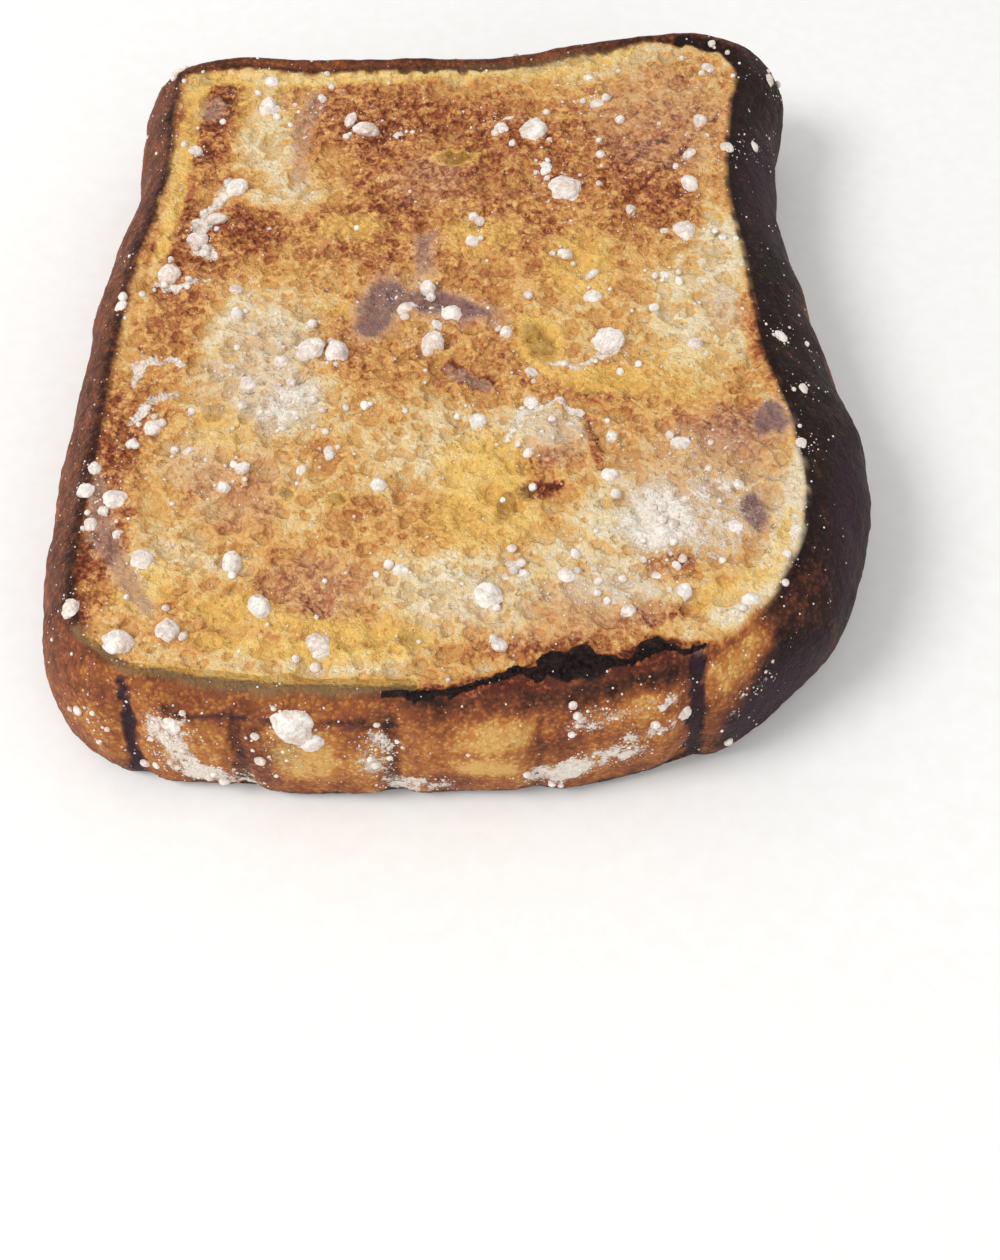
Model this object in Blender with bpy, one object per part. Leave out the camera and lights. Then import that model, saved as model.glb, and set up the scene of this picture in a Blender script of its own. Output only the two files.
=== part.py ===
"""One thick slice of toast, fried golden brown and dusted with icing sugar.

The slice lies on its lower cut face. The crown of the loaf points to +Y, and the
crust that was the bottom of the loaf points to -Y. All sizes are in millimetres
until a vertex is placed.
"""
import math
import random

import bmesh
import bpy
from mathutils import Matrix, Vector
from mathutils.bvhtree import BVHTree

MM = 0.001

# Driving dimensions.
THICKNESS = 25.0
SEGMENTS = 152
NORMAL_REACH = 4
SUGAR_SEED = 11
SCATTERED_CLUMPS = 40
CLUMP_SINK = 0.20
CLUMP_FLATNESS = 0.62

# The outline of the crust seen from above, as a few points joined by a smooth
# curve. It starts at the near left corner and runs anticlockwise.
OUTLINE = (
    (-58.6, -42.0),
    (-56.0, -53.5),
    (-49.0, -61.0),
    (-38.0, -64.2),
    (-14.0, -65.7),
    (8.0, -65.1),
    (27.0, -62.3),
    (40.0, -56.5),
    (50.5, -47.0),
    (57.0, -34.5),
    (59.0, -17.5),
    (56.0, -1.5),
    (53.1, 14.5),
    (50.5, 28.5),
    (51.3, 43.5),
    (53.8, 56.0),
    (49.6, 65.4),
    (37.0, 68.0),
    (20.0, 66.0),
    (2.0, 62.2),
    (-20.0, 61.2),
    (-42.0, 61.8),
    (-52.8, 57.6),
    (-54.8, 45.5),
    (-54.3, 31.5),
    (-57.0, 14.5),
    (-58.3, -4.0),
    (-58.6, -24.0),
)

# The rounded side from the lower face up to the upper face, as rings. Each ring
# has a fixed inset, a height and a share of the shoulder's width.
SIDE_RINGS = (
    (2.6, 0.0, 0.0),
    (1.2, 1.0, 0.0),
    (0.3, 3.4, 0.0),
    (0.0, 8.0, 0.0),
    (0.0, 12.5, 0.02),
    (0.0, 17.0, 0.14),
    (0.0, 20.4, 0.36),
    (0.0, 22.8, 0.60),
    (0.0, 24.2, 0.80),
    (0.0, 24.9, 1.0),
)

# The upper face closes inwards over rings of these sizes.
FACE_RINGS = (0.955, 0.89, 0.78, 0.64, 0.48, 0.31, 0.14)
FACE_CENTRE = (-2.0, -2.0)

# Vertical folds in the crust of the near side: place along X, half width, depth.
FOLDS = (
    (-44.0, 2.2, 1.3),
    (-29.5, 2.4, 0.8),
    (-9.0, 2.6, 0.8),
    (10.0, 2.0, 0.6),
    (31.0, 2.4, 1.5),
)

# Swells and hollows of the upper face: X, Y, radius, height.
SWELLS = (
    (12.5, -22.0, 6.5, 0.7),
    (-24.0, -14.0, 13.0, 0.5),
    (34.0, -30.0, 14.0, 0.5),
    (-8.0, 4.0, 9.0, -0.5),
    (4.0, 30.0, 15.0, 0.4),
    (-33.0, 26.0, 10.0, -0.4),
    (38.0, 12.0, 10.0, 0.4),
    (-4.0, -40.0, 14.0, 0.3),
    (-41.0, -34.0, 10.0, -0.3),
    (22.0, -4.0, 8.0, -0.3),
)

# Charred blisters on the near rim: X, Y, radius along X, radius along Y, height.
BLISTERS = (
    (14.0, -58.6, 5.4, 2.6, 1.2),
    (24.5, -55.6, 3.2, 2.0, 0.8),
    (-4.0, -61.6, 4.2, 1.8, 0.6),
    (4.5, -61.0, 2.6, 1.6, 0.5),
)

# The large clumps of sugar on the upper face: X, Y, radius.
LARGE_CLUMPS = (
    (15.0, 26.0, 2.6),
    (20.0, -4.0, 2.4),
    (-22.5, -6.0, 2.3),
    (-18.0, -6.5, 2.2),
    (10.5, 39.0, 2.2),
    (-16.0, 39.5, 2.1),
    (-18.0, -54.5, 1.9),
    (-37.5, -52.5, 1.9),
    (-44.0, -54.0, 1.9),
    (3.5, -47.0, 1.8),
    (-26.0, -48.5, 1.8),
    (33.0, 18.0, 1.8),
    (-5.0, -4.5, 1.8),
    (-9.0, 3.0, 1.7),
    (-2.0, 1.5, 1.6),
    (-44.0, 8.5, 1.6),
    (-46.5, -32.0, 1.6),
    (-42.0, -41.5, 1.5),
    (-30.0, -42.0, 1.6),
    (-35.5, 27.0, 1.6),
    (-38.0, 20.5, 1.6),
    (-40.5, 16.0, 1.6),
    (34.5, 28.0, 1.5),
    (-32.5, 44.5, 1.5),
)

# Clumps on the near side: X, height, radius.
SIDE_CLUMPS = (
    (-21.5, 20.5, 2.8),
    (-19.0, 17.6, 1.5),
    (-37.0, 19.0, 1.2),
    (29.0, 17.0, 1.2),
)


def spline_point(before, start, end, after, share):
    """Returns a point of the smooth curve that runs through start and end."""
    squared = share * share
    cubed = squared * share
    return tuple(
        0.5 * (2 * b + (c - a) * share + (2 * a - 5 * b + 4 * c - d) * squared + (3 * b - a - 3 * c + d) * cubed)
        for a, b, c, d in zip(before, start, end, after)
    )


def outline_curve(count):
    """Returns count evenly spaced points along the smooth outline."""
    total = len(OUTLINE)
    dense = []
    for index in range(total):
        knots = [OUTLINE[(index + step) % total] for step in (-1, 0, 1, 2)]
        dense.extend(spline_point(*knots, step / 40) for step in range(40))
    lengths = [0.0]
    for index in range(len(dense)):
        lengths.append(lengths[-1] + math.dist(dense[index], dense[(index + 1) % len(dense)]))
    points = []
    place = 0
    for index in range(count):
        target = lengths[-1] * index / count
        while lengths[place + 1] < target:
            place += 1
        share = (target - lengths[place]) / (lengths[place + 1] - lengths[place])
        start = dense[place]
        end = dense[(place + 1) % len(dense)]
        points.append((start[0] + (end[0] - start[0]) * share, start[1] + (end[1] - start[1]) * share))
    return points


def outward(points, index):
    """Returns the outward direction, evened out along the curve so that corners stay open."""
    before = points[index - NORMAL_REACH]
    after = points[(index + NORMAL_REACH) % len(points)]
    along = (after[0] - before[0], after[1] - before[1])
    length = math.hypot(*along)
    return along[1] / length, -along[0] / length


def shoulder_width(y, normal):
    """The rounded shoulder is widest in the middle of the right side and slim at the near side."""
    right = max(0.0, normal[0])
    left = max(0.0, -normal[0])
    far = max(0.0, normal[1])
    belly = 4.0 * math.exp(-(((y + 8.0) / 30.0) ** 2))
    return 4.6 + (5.0 + belly) * right + 3.4 * left + 1.6 * far


def side_depth(x, y, normal, height):
    """How far the crust of the side is drawn in at a point by its folds and waves."""
    level = min(1.0, max(0.0, (THICKNESS - 1.5 - height) / 5.0))
    near = max(0.0, -normal[1])
    folds = sum(depth * math.exp(-(((x - place) / width) ** 2)) for place, width, depth in FOLDS)
    waves = 0.28 * math.sin(0.21 * x + 0.16 * y + 0.12 * height) + 0.18 * math.sin(0.43 * y - 0.31 * x - 0.2 * height)
    return level * (near ** 3 * folds + 0.3 + waves)


def face_relief(x, y):
    """Height of the upper cut face above its plane."""
    relief = 0.22 * math.sin(0.115 * x + 0.6) * math.sin(0.098 * y - 0.4)
    relief += 0.12 * math.sin(0.23 * x - 0.17 * y) + 0.1 * math.sin(0.19 * x + 0.27 * y + 1.3)
    for place_x, place_y, radius, height in SWELLS:
        relief += height * math.exp(-((x - place_x) ** 2 + (y - place_y) ** 2) / radius ** 2)
    return relief


def blister_relief(x, y):
    """Height of the charred blisters on the near rim."""
    return sum(
        height * math.exp(-(((x - place_x) / along) ** 2) - ((y - place_y) / across) ** 2)
        for place_x, place_y, along, across, height in BLISTERS
    )


def side_ring(curve, inset, height, share):
    """Returns one ring of the rounded side as points in millimetres."""
    ring = []
    for index, (x, y) in enumerate(curve):
        normal = outward(curve, index)
        depth = inset + share * shoulder_width(y, normal)
        if height > 0.0:
            depth += side_depth(x, y, normal, height)
        place_x = x - normal[0] * depth
        place_y = y - normal[1] * depth
        lift = share * (blister_relief(place_x, place_y) + share * face_relief(place_x, place_y))
        ring.append((place_x, place_y, height + lift))
    return ring


def face_ring(rim, size):
    """Returns one ring of the upper face, shrunk from the rim towards the centre."""
    ring = []
    for x, y, _ in rim:
        place_x = FACE_CENTRE[0] + (x - FACE_CENTRE[0]) * size
        place_y = FACE_CENTRE[1] + (y - FACE_CENTRE[1]) * size
        height = SIDE_RINGS[-1][1] + face_relief(place_x, place_y) + blister_relief(place_x, place_y)
        ring.append((place_x, place_y, height))
    return ring


def add_ring(shape, ring):
    """Adds a ring of points to the shape and returns its vertices."""
    return [shape.verts.new((x * MM, y * MM, z * MM)) for x, y, z in ring]


def bridge(shape, lower, upper):
    """Joins two rings with a band of four-sided faces."""
    count = len(lower)
    for index in range(count):
        after = (index + 1) % count
        shape.faces.new((lower[index], lower[after], upper[after], upper[index]))


def build_slice():
    """Models the slice of bread as one closed body."""
    curve = outline_curve(SEGMENTS)
    shape = bmesh.new()
    rings = [add_ring(shape, side_ring(curve, *ring)) for ring in SIDE_RINGS]
    rim = side_ring(curve, *SIDE_RINGS[-1])
    rings.extend(add_ring(shape, face_ring(rim, size)) for size in FACE_RINGS)
    for lower, upper in zip(rings, rings[1:]):
        bridge(shape, lower, upper)
    shape.faces.new(list(reversed(rings[0])))
    centre_height = SIDE_RINGS[-1][1] + face_relief(*FACE_CENTRE)
    centre = shape.verts.new((FACE_CENTRE[0] * MM, FACE_CENTRE[1] * MM, centre_height * MM))
    last = rings[-1]
    for index, corner in enumerate(last):
        shape.faces.new((corner, last[(index + 1) % len(last)], centre))
    bmesh.ops.triangulate(shape, faces=shape.faces[:])
    return shape


def add_clump(collection, name, surface, aim, ray, radius, turn):
    """Adds one low dome of sugar, half sunk into the surface that the ray meets."""
    place, normal, _, _ = surface.ray_cast(Vector(aim) * MM, Vector(ray))
    if place is None:
        return
    dome = bmesh.new()
    bmesh.ops.create_uvsphere(dome, u_segments=8, v_segments=4, radius=radius * MM)
    bmesh.ops.triangulate(dome, faces=dome.faces[:])
    mesh = bpy.data.meshes.new(name)
    stretch = Matrix.Diagonal((1.0 + 0.2 * math.sin(turn), 1.0, CLUMP_FLATNESS, 1.0))
    tilt = normal.to_track_quat("Z", "Y").to_matrix().to_4x4()
    sunk = place - normal * (radius * CLUMP_SINK * MM)
    dome.transform(Matrix.Translation(sunk) @ tilt @ Matrix.Rotation(turn, 4, "Z") @ stretch)
    dome.to_mesh(mesh)
    dome.free()
    collection.objects.link(bpy.data.objects.new(name, mesh))


def add_sugar(collection, surface):
    """Adds the large clumps, then scatters smaller ones that keep clear of them."""
    down = (0.0, 0.0, -1.0)
    taken = []
    for index, (x, y, radius) in enumerate(LARGE_CLUMPS):
        add_clump(collection, f"clump_{index}", surface, (x, y, 60.0), down, radius, 1.7 * index)
        taken.append((x, y, radius))
    for index, (x, height, radius) in enumerate(SIDE_CLUMPS):
        add_clump(collection, f"side_clump_{index}", surface, (x, -90.0, height), (0.0, 1.0, 0.0), radius, index)
    draw = random.Random(SUGAR_SEED)
    placed = 0
    while placed < SCATTERED_CLUMPS:
        x = draw.uniform(-52.0, 50.0)
        y = draw.uniform(-57.0, 56.0)
        radius = draw.uniform(0.9, 1.25)
        if any(math.dist((x, y), other[:2]) < other[2] + radius + 1.5 for other in taken):
            continue
        add_clump(collection, f"small_clump_{placed}", surface, (x, y, 60.0), down, radius, x + y)
        taken.append((x, y, radius))
        placed += 1


def food_material():
    """The golden, egg-soaked crumb."""
    material = bpy.data.materials.new("toasted_bread")
    material.use_nodes = True
    shader = material.node_tree.nodes["Principled BSDF"]
    shader.inputs["Base Color"].default_value = (0.56, 0.30, 0.09, 1.0)
    shader.inputs["Roughness"].default_value = 0.62
    shader.inputs["Metallic"].default_value = 0.0
    return material


def main():
    """Clears the scene and builds the toast."""
    for leftover in list(bpy.data.objects):
        bpy.data.objects.remove(leftover, do_unlink=True)

    shape = build_slice()
    surface = BVHTree.FromBMesh(shape)
    mesh = bpy.data.meshes.new("toast")
    shape.to_mesh(mesh)
    shape.free()
    toast = bpy.data.objects.new("toast", mesh)
    bpy.context.scene.collection.objects.link(toast)

    sugar = bpy.data.collections.new("sugar")
    bpy.context.scene.collection.children.link(sugar)
    add_sugar(sugar, surface)

    fuse = toast.modifiers.new("fuse_sugar", "BOOLEAN")
    fuse.operation = "UNION"
    fuse.solver = "EXACT"
    fuse.operand_type = "COLLECTION"
    fuse.collection = sugar
    evaluated = toast.evaluated_get(bpy.context.evaluated_depsgraph_get())
    fused = bpy.data.meshes.new_from_object(evaluated)
    toast.modifiers.clear()
    toast.data = fused
    for clump in list(sugar.objects):
        bpy.data.objects.remove(clump, do_unlink=True)
    bpy.data.collections.remove(sugar)

    corners = [Vector(corner) for corner in toast.bound_box]
    low_x, high_x = min(c.x for c in corners), max(c.x for c in corners)
    low_y, high_y = min(c.y for c in corners), max(c.y for c in corners)
    fused.transform(Matrix.Translation((-(low_x + high_x) / 2, -(low_y + high_y) / 2, 0.0)))

    fused.materials.clear()
    fused.materials.append(food_material())
    fused.shade_smooth()
    fused.set_sharp_from_angle(angle=math.radians(50.0))


if __name__ == "__main__":
    main()
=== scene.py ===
"""Dresses one thick slice of fried toast that is dusted with icing sugar.

The slice is one closed mesh. Its open crumb, its folded crust and its charred near rim
are real relief, and its browning is worked out point by point and kept as attributes
that the bread's material reads. The sugar lies on it as clumps, grains and powder.

Sizes, places, points and heights are in millimetres until a mesh is made. The crown of the
loaf points to +Y, and the crust that was the bottom of the loaf points to -Y, the near side.
"""
import itertools
import logging
import math
import random
from dataclasses import dataclass, field
from enum import Enum

import bmesh
import bpy
import numpy as np
from mathutils import Matrix, Vector, geometry
from mathutils.bvhtree import BVHTree


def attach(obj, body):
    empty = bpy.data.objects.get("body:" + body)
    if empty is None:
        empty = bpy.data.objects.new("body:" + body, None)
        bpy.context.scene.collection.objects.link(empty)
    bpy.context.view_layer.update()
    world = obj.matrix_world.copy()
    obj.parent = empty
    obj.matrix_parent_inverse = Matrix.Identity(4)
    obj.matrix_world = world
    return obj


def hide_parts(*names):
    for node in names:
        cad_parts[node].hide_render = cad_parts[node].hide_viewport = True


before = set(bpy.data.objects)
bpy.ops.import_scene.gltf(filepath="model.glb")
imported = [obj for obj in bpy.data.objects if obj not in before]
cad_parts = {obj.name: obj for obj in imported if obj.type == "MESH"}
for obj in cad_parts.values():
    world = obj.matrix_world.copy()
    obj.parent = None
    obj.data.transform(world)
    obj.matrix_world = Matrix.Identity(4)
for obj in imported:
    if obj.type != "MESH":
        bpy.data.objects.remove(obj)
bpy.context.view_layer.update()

MM = 0.001
LOG = logging.getLogger("toast")

Array = np.ndarray
Row = tuple[float, ...]
Faces = list[tuple[int, ...]]
Piece = bpy.types.Object
Tree = bpy.types.NodeTree
Socket = bpy.types.NodeSocket
Outputs = dict[str, Socket]
Stops = tuple[tuple[float, Row], ...]

DOWN: Row = (0.0, 0.0, -1.0)
AHEAD: Row = (0.0, 1.0, 0.0)

# The two axes that a layer of soft areas lies along.
FROM_ABOVE = (0, 1)
FROM_NEAR = (0, 2)
FROM_SIDE = (1, 2)

# Turns places into places without their height.
FLATTENED = np.array([1.0, 1.0, 0.0])

# Where the soft edge of an area starts and ends, as shares of its half width.
PATCH_EDGE = (0.45, 1.35)
STROKE_EDGE = (0.5, 1.2)

# Seeded draws are whole numbers of 27 bits, each read as three numbers of 9 bits.
DRAW_MASK = 0x7FFFFFF
DRAW_PRIMES = (73856093, 19349663, 83492791)
DRAW_ROUNDS = ((1274126177, 13), (668265263, 11))
DRAW_SHIFTS = (0, 9, 18)
DRAW_MOST = 511
DRAW_SPREAD = 2654435
DRAW_LAST = 12
SEED_GAP = 7

# Noise: how many directions its slopes take, its gain, and how far its layers lie apart.
SLOPE_BITS = 10
SLOPES = 1 << SLOPE_BITS
NOISE_GAIN = 1.6
LAYER_GAP = 17.3


class Slot(Enum):
    """The record's material slots."""

    BREAD = "toasted_bread"
    SUGAR = "icing_sugar"


class Field(Enum):
    """What the slice's mesh knows about each of its points."""

    BROWNING = "browning"
    CRUST = "crust"
    CRUST_TONE = "crust_tone"
    CHAR = "char"
    # On the crust this attribute holds the plum areas: painted sheen on the right crust and painted shade in
    # the near side's creases.
    MAUVE = "mauve"
    PORE = "pore"
    SUGAR = "sugar_film"
    # Butter-yellow and olive areas, with painted shade along the near rim.
    OLIVE_AND_RIM_SHADE = "olive"


def ease(values: Array, start: float, end: float) -> Array:
    """Rises smoothly from 0 at the start to 1 at the end, and stays level outside."""
    share = np.clip((values - start) / (end - start), 0.0, 1.0)
    return share * share * (3.0 - 2.0 * share)


def hump(values: Array, middle: float, reach: float) -> Array:
    """Rises to 1 at the middle and falls away on both sides over a reach."""
    return np.exp(-((values - middle) / reach) ** 2)


def through(before: Array, start: Array, end: Array, after: Array,
            share: Array) -> Array:
    """Follows the smooth curve that runs through four places, from the second to the third.

    Args:
        before: the place before the start.
        start: where the curve starts.
        end: where it ends.
        after: the place after the end.
        share: how far along the wanted points are, from 0 to 1.

    Returns:
        The points of the curve.
    """
    return 0.5 * (
        2 * start
        + (end - before) * share
        + (2 * before - 5 * start + 4 * end - after) * share ** 2
        + (3 * start - before - 3 * end + after) * share ** 3
    )


def scrambled(cells: Array, seed: int) -> Array:
    """Returns one seeded whole number of 27 bits for each row of whole numbers.

    Args:
        cells: whole numbers, two or three in a row.
        seed: the draw's seed.

    Returns:
        An array of whole numbers.
    """
    mixed = np.full(len(cells), seed * DRAW_SPREAD, dtype=np.int64)
    for column, prime in zip(cells.T, DRAW_PRIMES):
        mixed ^= column * prime
    mixed &= DRAW_MASK
    for factor, step in DRAW_ROUNDS:
        mixed = ((mixed ^ (mixed >> step)) * factor) & DRAW_MASK
    return mixed ^ (mixed >> DRAW_LAST)


@dataclass(frozen=True)
class Unevenness:
    """Seeded smooth noise in space, as uneven as bread is.

    Its size is the width of its features in millimetres, and its amount is how far it reaches
    either way. Each further layer is half as wide and weaker by the fade.
    """

    size: float
    seed: int
    layers: int = 1
    fade: float = 0.5
    stretch: Row = (1.0, 1.0, 1.0)
    amount: float = 1.0

    def _layer(self, points: Array, seed: int) -> Array:
        """Works out one layer of gradient noise.

        Args:
            points: places in cells, one row each.
            seed: the layer's seed.

        Returns:
            One number for each place, about -1 to 1.
        """
        cell = np.floor(points).astype(np.int64)
        local = points - cell
        fade = local ** 3 * (local * (local * 6.0 - 15.0) + 10.0)
        total = np.zeros(len(points))
        for corner in itertools.product((0, 1), repeat=3):
            mixed = scrambled(cell + np.array(corner), seed)
            angle = (mixed & (SLOPES - 1)) * (2.0 * math.pi / SLOPES)
            rise = ((mixed >> SLOPE_BITS) & (SLOPES - 1)) / (0.5 * (SLOPES - 1)) - 1.0
            flat = np.sqrt(np.maximum(0.0, 1.0 - rise * rise))
            slope = np.stack([flat * np.cos(angle), flat * np.sin(angle), rise], axis=1)
            reach = local - np.array(corner)
            weight = np.ones(len(points))
            for axis in range(3):
                weight *= fade[:, axis] if corner[axis] else 1.0 - fade[:, axis]
            total += weight * (slope * reach).sum(axis=1)
        return total * NOISE_GAIN

    def at(self, points: Array) -> Array:
        """Returns the noise at points.

        Args:
            points: the points.

        Returns:
            One number for each place, mostly within the amount.
        """
        places = points * np.array(self.stretch) / self.size
        total = np.zeros(len(points))
        share = 1.0
        whole = 0.0
        for layer in range(self.layers):
            total += share * self._layer(places * 2.0 ** layer + LAYER_GAP * layer, self.seed + layer)
            whole += share
            share *= self.fade
        return self.amount * (total / whole)


Noises = tuple[Unevenness, ...]


def together(noises: Noises, points: Array) -> Array:
    """Returns the sum of several noises at points."""
    return sum(noise.at(points) for noise in noises)


@dataclass(frozen=True)
class Bubbles:
    """Hollows that gas left in the dough: at most one in each cell of a loose grid.

    The share is the chance of one in a cell, deep is its depth for each millimetre of its
    radius, and the rim is where its mask ends, as shares of the radius.
    """

    spacing: float
    smallest: float
    largest: float
    share: float
    deep: float
    seed: int
    steepness: float = 0.6
    stretch: float = 0.8
    rim: Row = (0.65, 1.05)

    def hollows(self, x: Array, y: Array) -> tuple[Array, Array]:
        """Opens the bubbles at places x, y.

        Args:
            x: places along X.
            y: places along Y.

        Returns:
            The depth, and a mask that is 1 inside the bubbles.
        """
        depth, mask = np.zeros(len(x)), np.zeros(len(x))
        home = np.column_stack([np.floor(x / self.spacing), np.floor(y / self.spacing)]).astype(np.int64)
        for step in itertools.product((-1, 0, 1), repeat=2):
            cell = home + np.array(step)
            place_x, place_y, chance, size, length, angle = (
                (scrambled(cell, seed) >> shift & DRAW_MOST) / DRAW_MOST
                for seed in (self.seed, self.seed + 1) for shift in DRAW_SHIFTS
            )
            radius = self.smallest + (self.largest - self.smallest) * size ** 2
            turn = math.pi * angle
            away_x = x - (cell[:, 0] + place_x) * self.spacing
            away_y = y - (cell[:, 1] + place_y) * self.spacing
            along = (away_x * np.cos(turn) + away_y * np.sin(turn)) / (1.0 + self.stretch * length)
            across = away_y * np.cos(turn) - away_x * np.sin(turn)
            distance = np.hypot(along, across) / radius
            there = chance < self.share
            bowl = np.clip(1.0 - distance ** 2, 0.0, 1.0) ** self.steepness
            depth = np.maximum(depth, np.where(there, self.deep * radius * bowl, 0.0))
            mask = np.maximum(mask, np.where(there, 1.0 - ease(distance, *self.rim), 0.0))
        return depth, mask


@dataclass(frozen=True)
class Patch:
    """A soft-edged oval area: its middle, half sizes, strength and turn in degrees."""

    x: float
    y: float
    half_width: float
    half_depth: float
    strength: float
    turn: float = 0.0

    def cover(self, x: Array, y: Array) -> Array:
        """Measures the patch.

        Args:
            x: places along the first axis.
            y: places along the second one.

        Returns:
            The patch's strength at each place.
        """
        angle = math.radians(self.turn)
        along = (x - self.x) * math.cos(angle) + (y - self.y) * math.sin(angle)
        across = (y - self.y) * math.cos(angle) - (x - self.x) * math.sin(angle)
        distance = np.sqrt((along / self.half_width) ** 2 + (across / self.half_depth) ** 2)
        return self.strength * (1.0 - ease(distance, *PATCH_EDGE))


@dataclass(frozen=True)
class Stroke:
    """A soft-edged band along a few points, each with its half width, and its strength."""

    points: tuple[Row, ...]
    strength: float

    def cover(self, x: Array, y: Array) -> Array:
        """Measures the stroke.

        Args:
            x: places along the first axis.
            y: places along the second one.

        Returns:
            The stroke's strength at each place.
        """
        best = np.zeros(len(x))
        for (start_x, start_y, start_width), (end_x, end_y, end_width) in itertools.pairwise(self.points):
            along_x, along_y = end_x - start_x, end_y - start_y
            length = along_x ** 2 + along_y ** 2
            share = np.clip(((x - start_x) * along_x + (y - start_y) * along_y) / length, 0.0, 1.0)
            gap = np.hypot(x - start_x - along_x * share, y - start_y - along_y * share)
            width = start_width + (end_width - start_width) * share
            best = np.maximum(best, 1.0 - ease(gap / width, *STROKE_EDGE))
        return self.strength * best


@dataclass(frozen=True)
class PatchLayer:
    """A set of areas whose edges wander as the noise does."""

    areas: tuple[Patch | Stroke, ...]
    wander: float = 2.2
    seed: int = 5
    cell: float = 6.0

    def cover(self, points: Array, plane: tuple[int, int] = FROM_ABOVE) -> Array:
        """Returns the sum of the areas at points.

        Args:
            points: the points.
            plane: which two axes the patches lie along.

        Returns:
            One number for each place.
        """
        x, y = (
            points[:, axis] + Unevenness(self.cell, seed, layers=3, amount=self.wander).at(points)
            for axis, seed in zip(plane, (self.seed, self.seed + SEED_GAP))
        )
        return sum(area.cover(x, y) for area in self.areas)


def patches(*rows: Row) -> tuple[Patch, ...]:
    """Returns a patch for each row of numbers."""
    return tuple(Patch(*row) for row in rows)


def strokes(*rows: tuple) -> tuple[Stroke, ...]:
    """Returns a stroke for each row of a strength and points."""
    return tuple(Stroke(tuple(points), strength) for strength, *points in rows)


BROWNER = PatchLayer(patches(
    (0, 33, 24, 18, 0.14), (-16, 42, 12, 9, 0.13), (31, 31, 12, 14, 0.16),
    (-41, 42, 5, 11, 0.42, -8), (2.5, -27, 12, 8, 0.07), (-42, 12, 6, 16, 0.22, 5),
    (-33, 18, 6, 5.5, 0.3), (-16, 17, 10, 8, 0.14), (-5, -3, 18, 14, 0.05),
    (44, -2, 4.5, 11, 0.26, 12), (27, -43, 4.5, 2.6, 0.38, 10), (25, -49.5, 8, 2, 0.28, 8),
    (12, -55, 15, 2.4, 0.2, 3), (-18, -44, 9, 6, 0.2), (-31, -33, 9, 8, 0.2),
    (-48, -44, 5, 9, 0.16), (-48, -30, 3.5, 24, 0.32, -3), (-6, -35, 13, 5, 0.12),
    (11, -25.5, 5, 1.6, 0.24, 10), (40, -18, 5, 6, 0.12), (36, -21, 6, 5, 0.12),
) + strokes(
    (0.36, (16.2, -16.9, 0.8), (18.5, -23.5, 1.1), (18.9, -26.9, 0.8)),
    (0.42, (7.7, -31.4, 1), (11.1, -30.2, 1.5), (13, -29.8, 0.8)),
    (0.36, (-2.4, -8.6, 1.2), (0, -10.8, 1.7), (3.4, -12.2, 1.2)),
    (0.26, (26.6, 26.2, 0.4), (35, 36.5, 0.6), (42.8, 46.3, 0.4)),
    (0.2, (23.5, 30, 0.3), (31, 38, 0.5), (38, 45, 0.3)),
))

PALER = PatchLayer(patches(
    (4, -36, 46, 19, 0.14), (34, -30, 13, 12, 0.1), (-32, 38, 5.5, 14, 0.32, 10),
    (-26, 25, 8, 3.2, 0.22), (-29, -8, 10, 16, 0.38), (-35.6, 3, 5, 8, 0.18),
    (23, -34.5, 6.5, 6, 0.22), (19, -43, 8, 4, 0.1), (-33, -38, 10, 8, 0.12),
    (-22, -16, 8, 4.6, 0.22, 10), (20, 2, 7, 14, 0.14), (33, 0, 8, 15, 0.3),
    (38, 13, 3.8, 10, 0.34), (22, -45.5, 9, 3.6, 0.26), (-17, -56, 18, 3.2, 0.14, -3),
    (-38, -30, 6, 14, 0.18), (-3, -22, 14, 9, 0.16), (-1, -46, 13, 5, 0.24), (8, -38, 12, 6, 0.12),
    (22, 55, 15, 5, 0.16, 8), (12.5, -20, 5, 4.5, 0.28), (-43, -45, 5, 5, 0.16),
) + strokes(
    # A pale streak along the right lower rim, partly a painted highlight.
    (0.34, (46, -24, 1.6), (44.8, -36, 2.6), (40.5, -45, 3.4), (34, -49.5, 2.6)),
    (0.18, (-43.2, 51, 1.6), (-44.2, 40, 1.5), (-44.4, 29, 1.3), (-45.6, 12, 1)),
    (0.28, (-42.5, 51.2, 1.6), (-25, 51, 1.5), (-8, 52, 1.2), (8, 54, 1.2), (26, 57.5, 1.6)),
), seed=31)

# Low strengths are rosy, high ones mauve and grey.
MAUVE = PatchLayer(patches(
    (-41, 44, 2.4, 3, 0.6), (-12.8, 2.6, 3.4, 7.4, 0.85, -14), (-6.3, 13, 2.2, 5.6, 0.65, -8),
    (-2.6, 3, 8.8, 3, 0.85, -18), (43, -18, 3, 3.2, 0.85), (39, -34, 2.6, 3.2, 0.65),
    (12.8, -21.5, 5, 4.8, 0.4), (32, -30, 13, 11, 0.36), (37, -20, 8, 5, 0.22),
    (38, 2, 3, 5, 0.34), (-30, -31, 8, 7, 0.26), (-18, -45, 9, 6, 0.24), (8, -50, 14, 5, 0.2),
    (-37, -26, 5, 4, 0.3), (-29, -10, 10, 14, 0.24), (30, 42, 13, 14, 0.24), (-6, 28, 8, 6, 0.2),
    (20, -46, 10, 6, 0.26),
) + strokes(
    (0.5, (-25.9, 28.4, 1.4), (-26.7, 39.4, 2), (-24.3, 46.8, 1.8)),
    (0.62, (-50, -28, 1.2), (-46.8, -40, 2.4), (-40.5, -48.5, 1.6)),
    (0.45, (-2.4, -8.6, 1), (0, -10.8, 1.5), (3.4, -12.2, 1)),
), wander=1.6, seed=47, cell=3.5)
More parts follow.
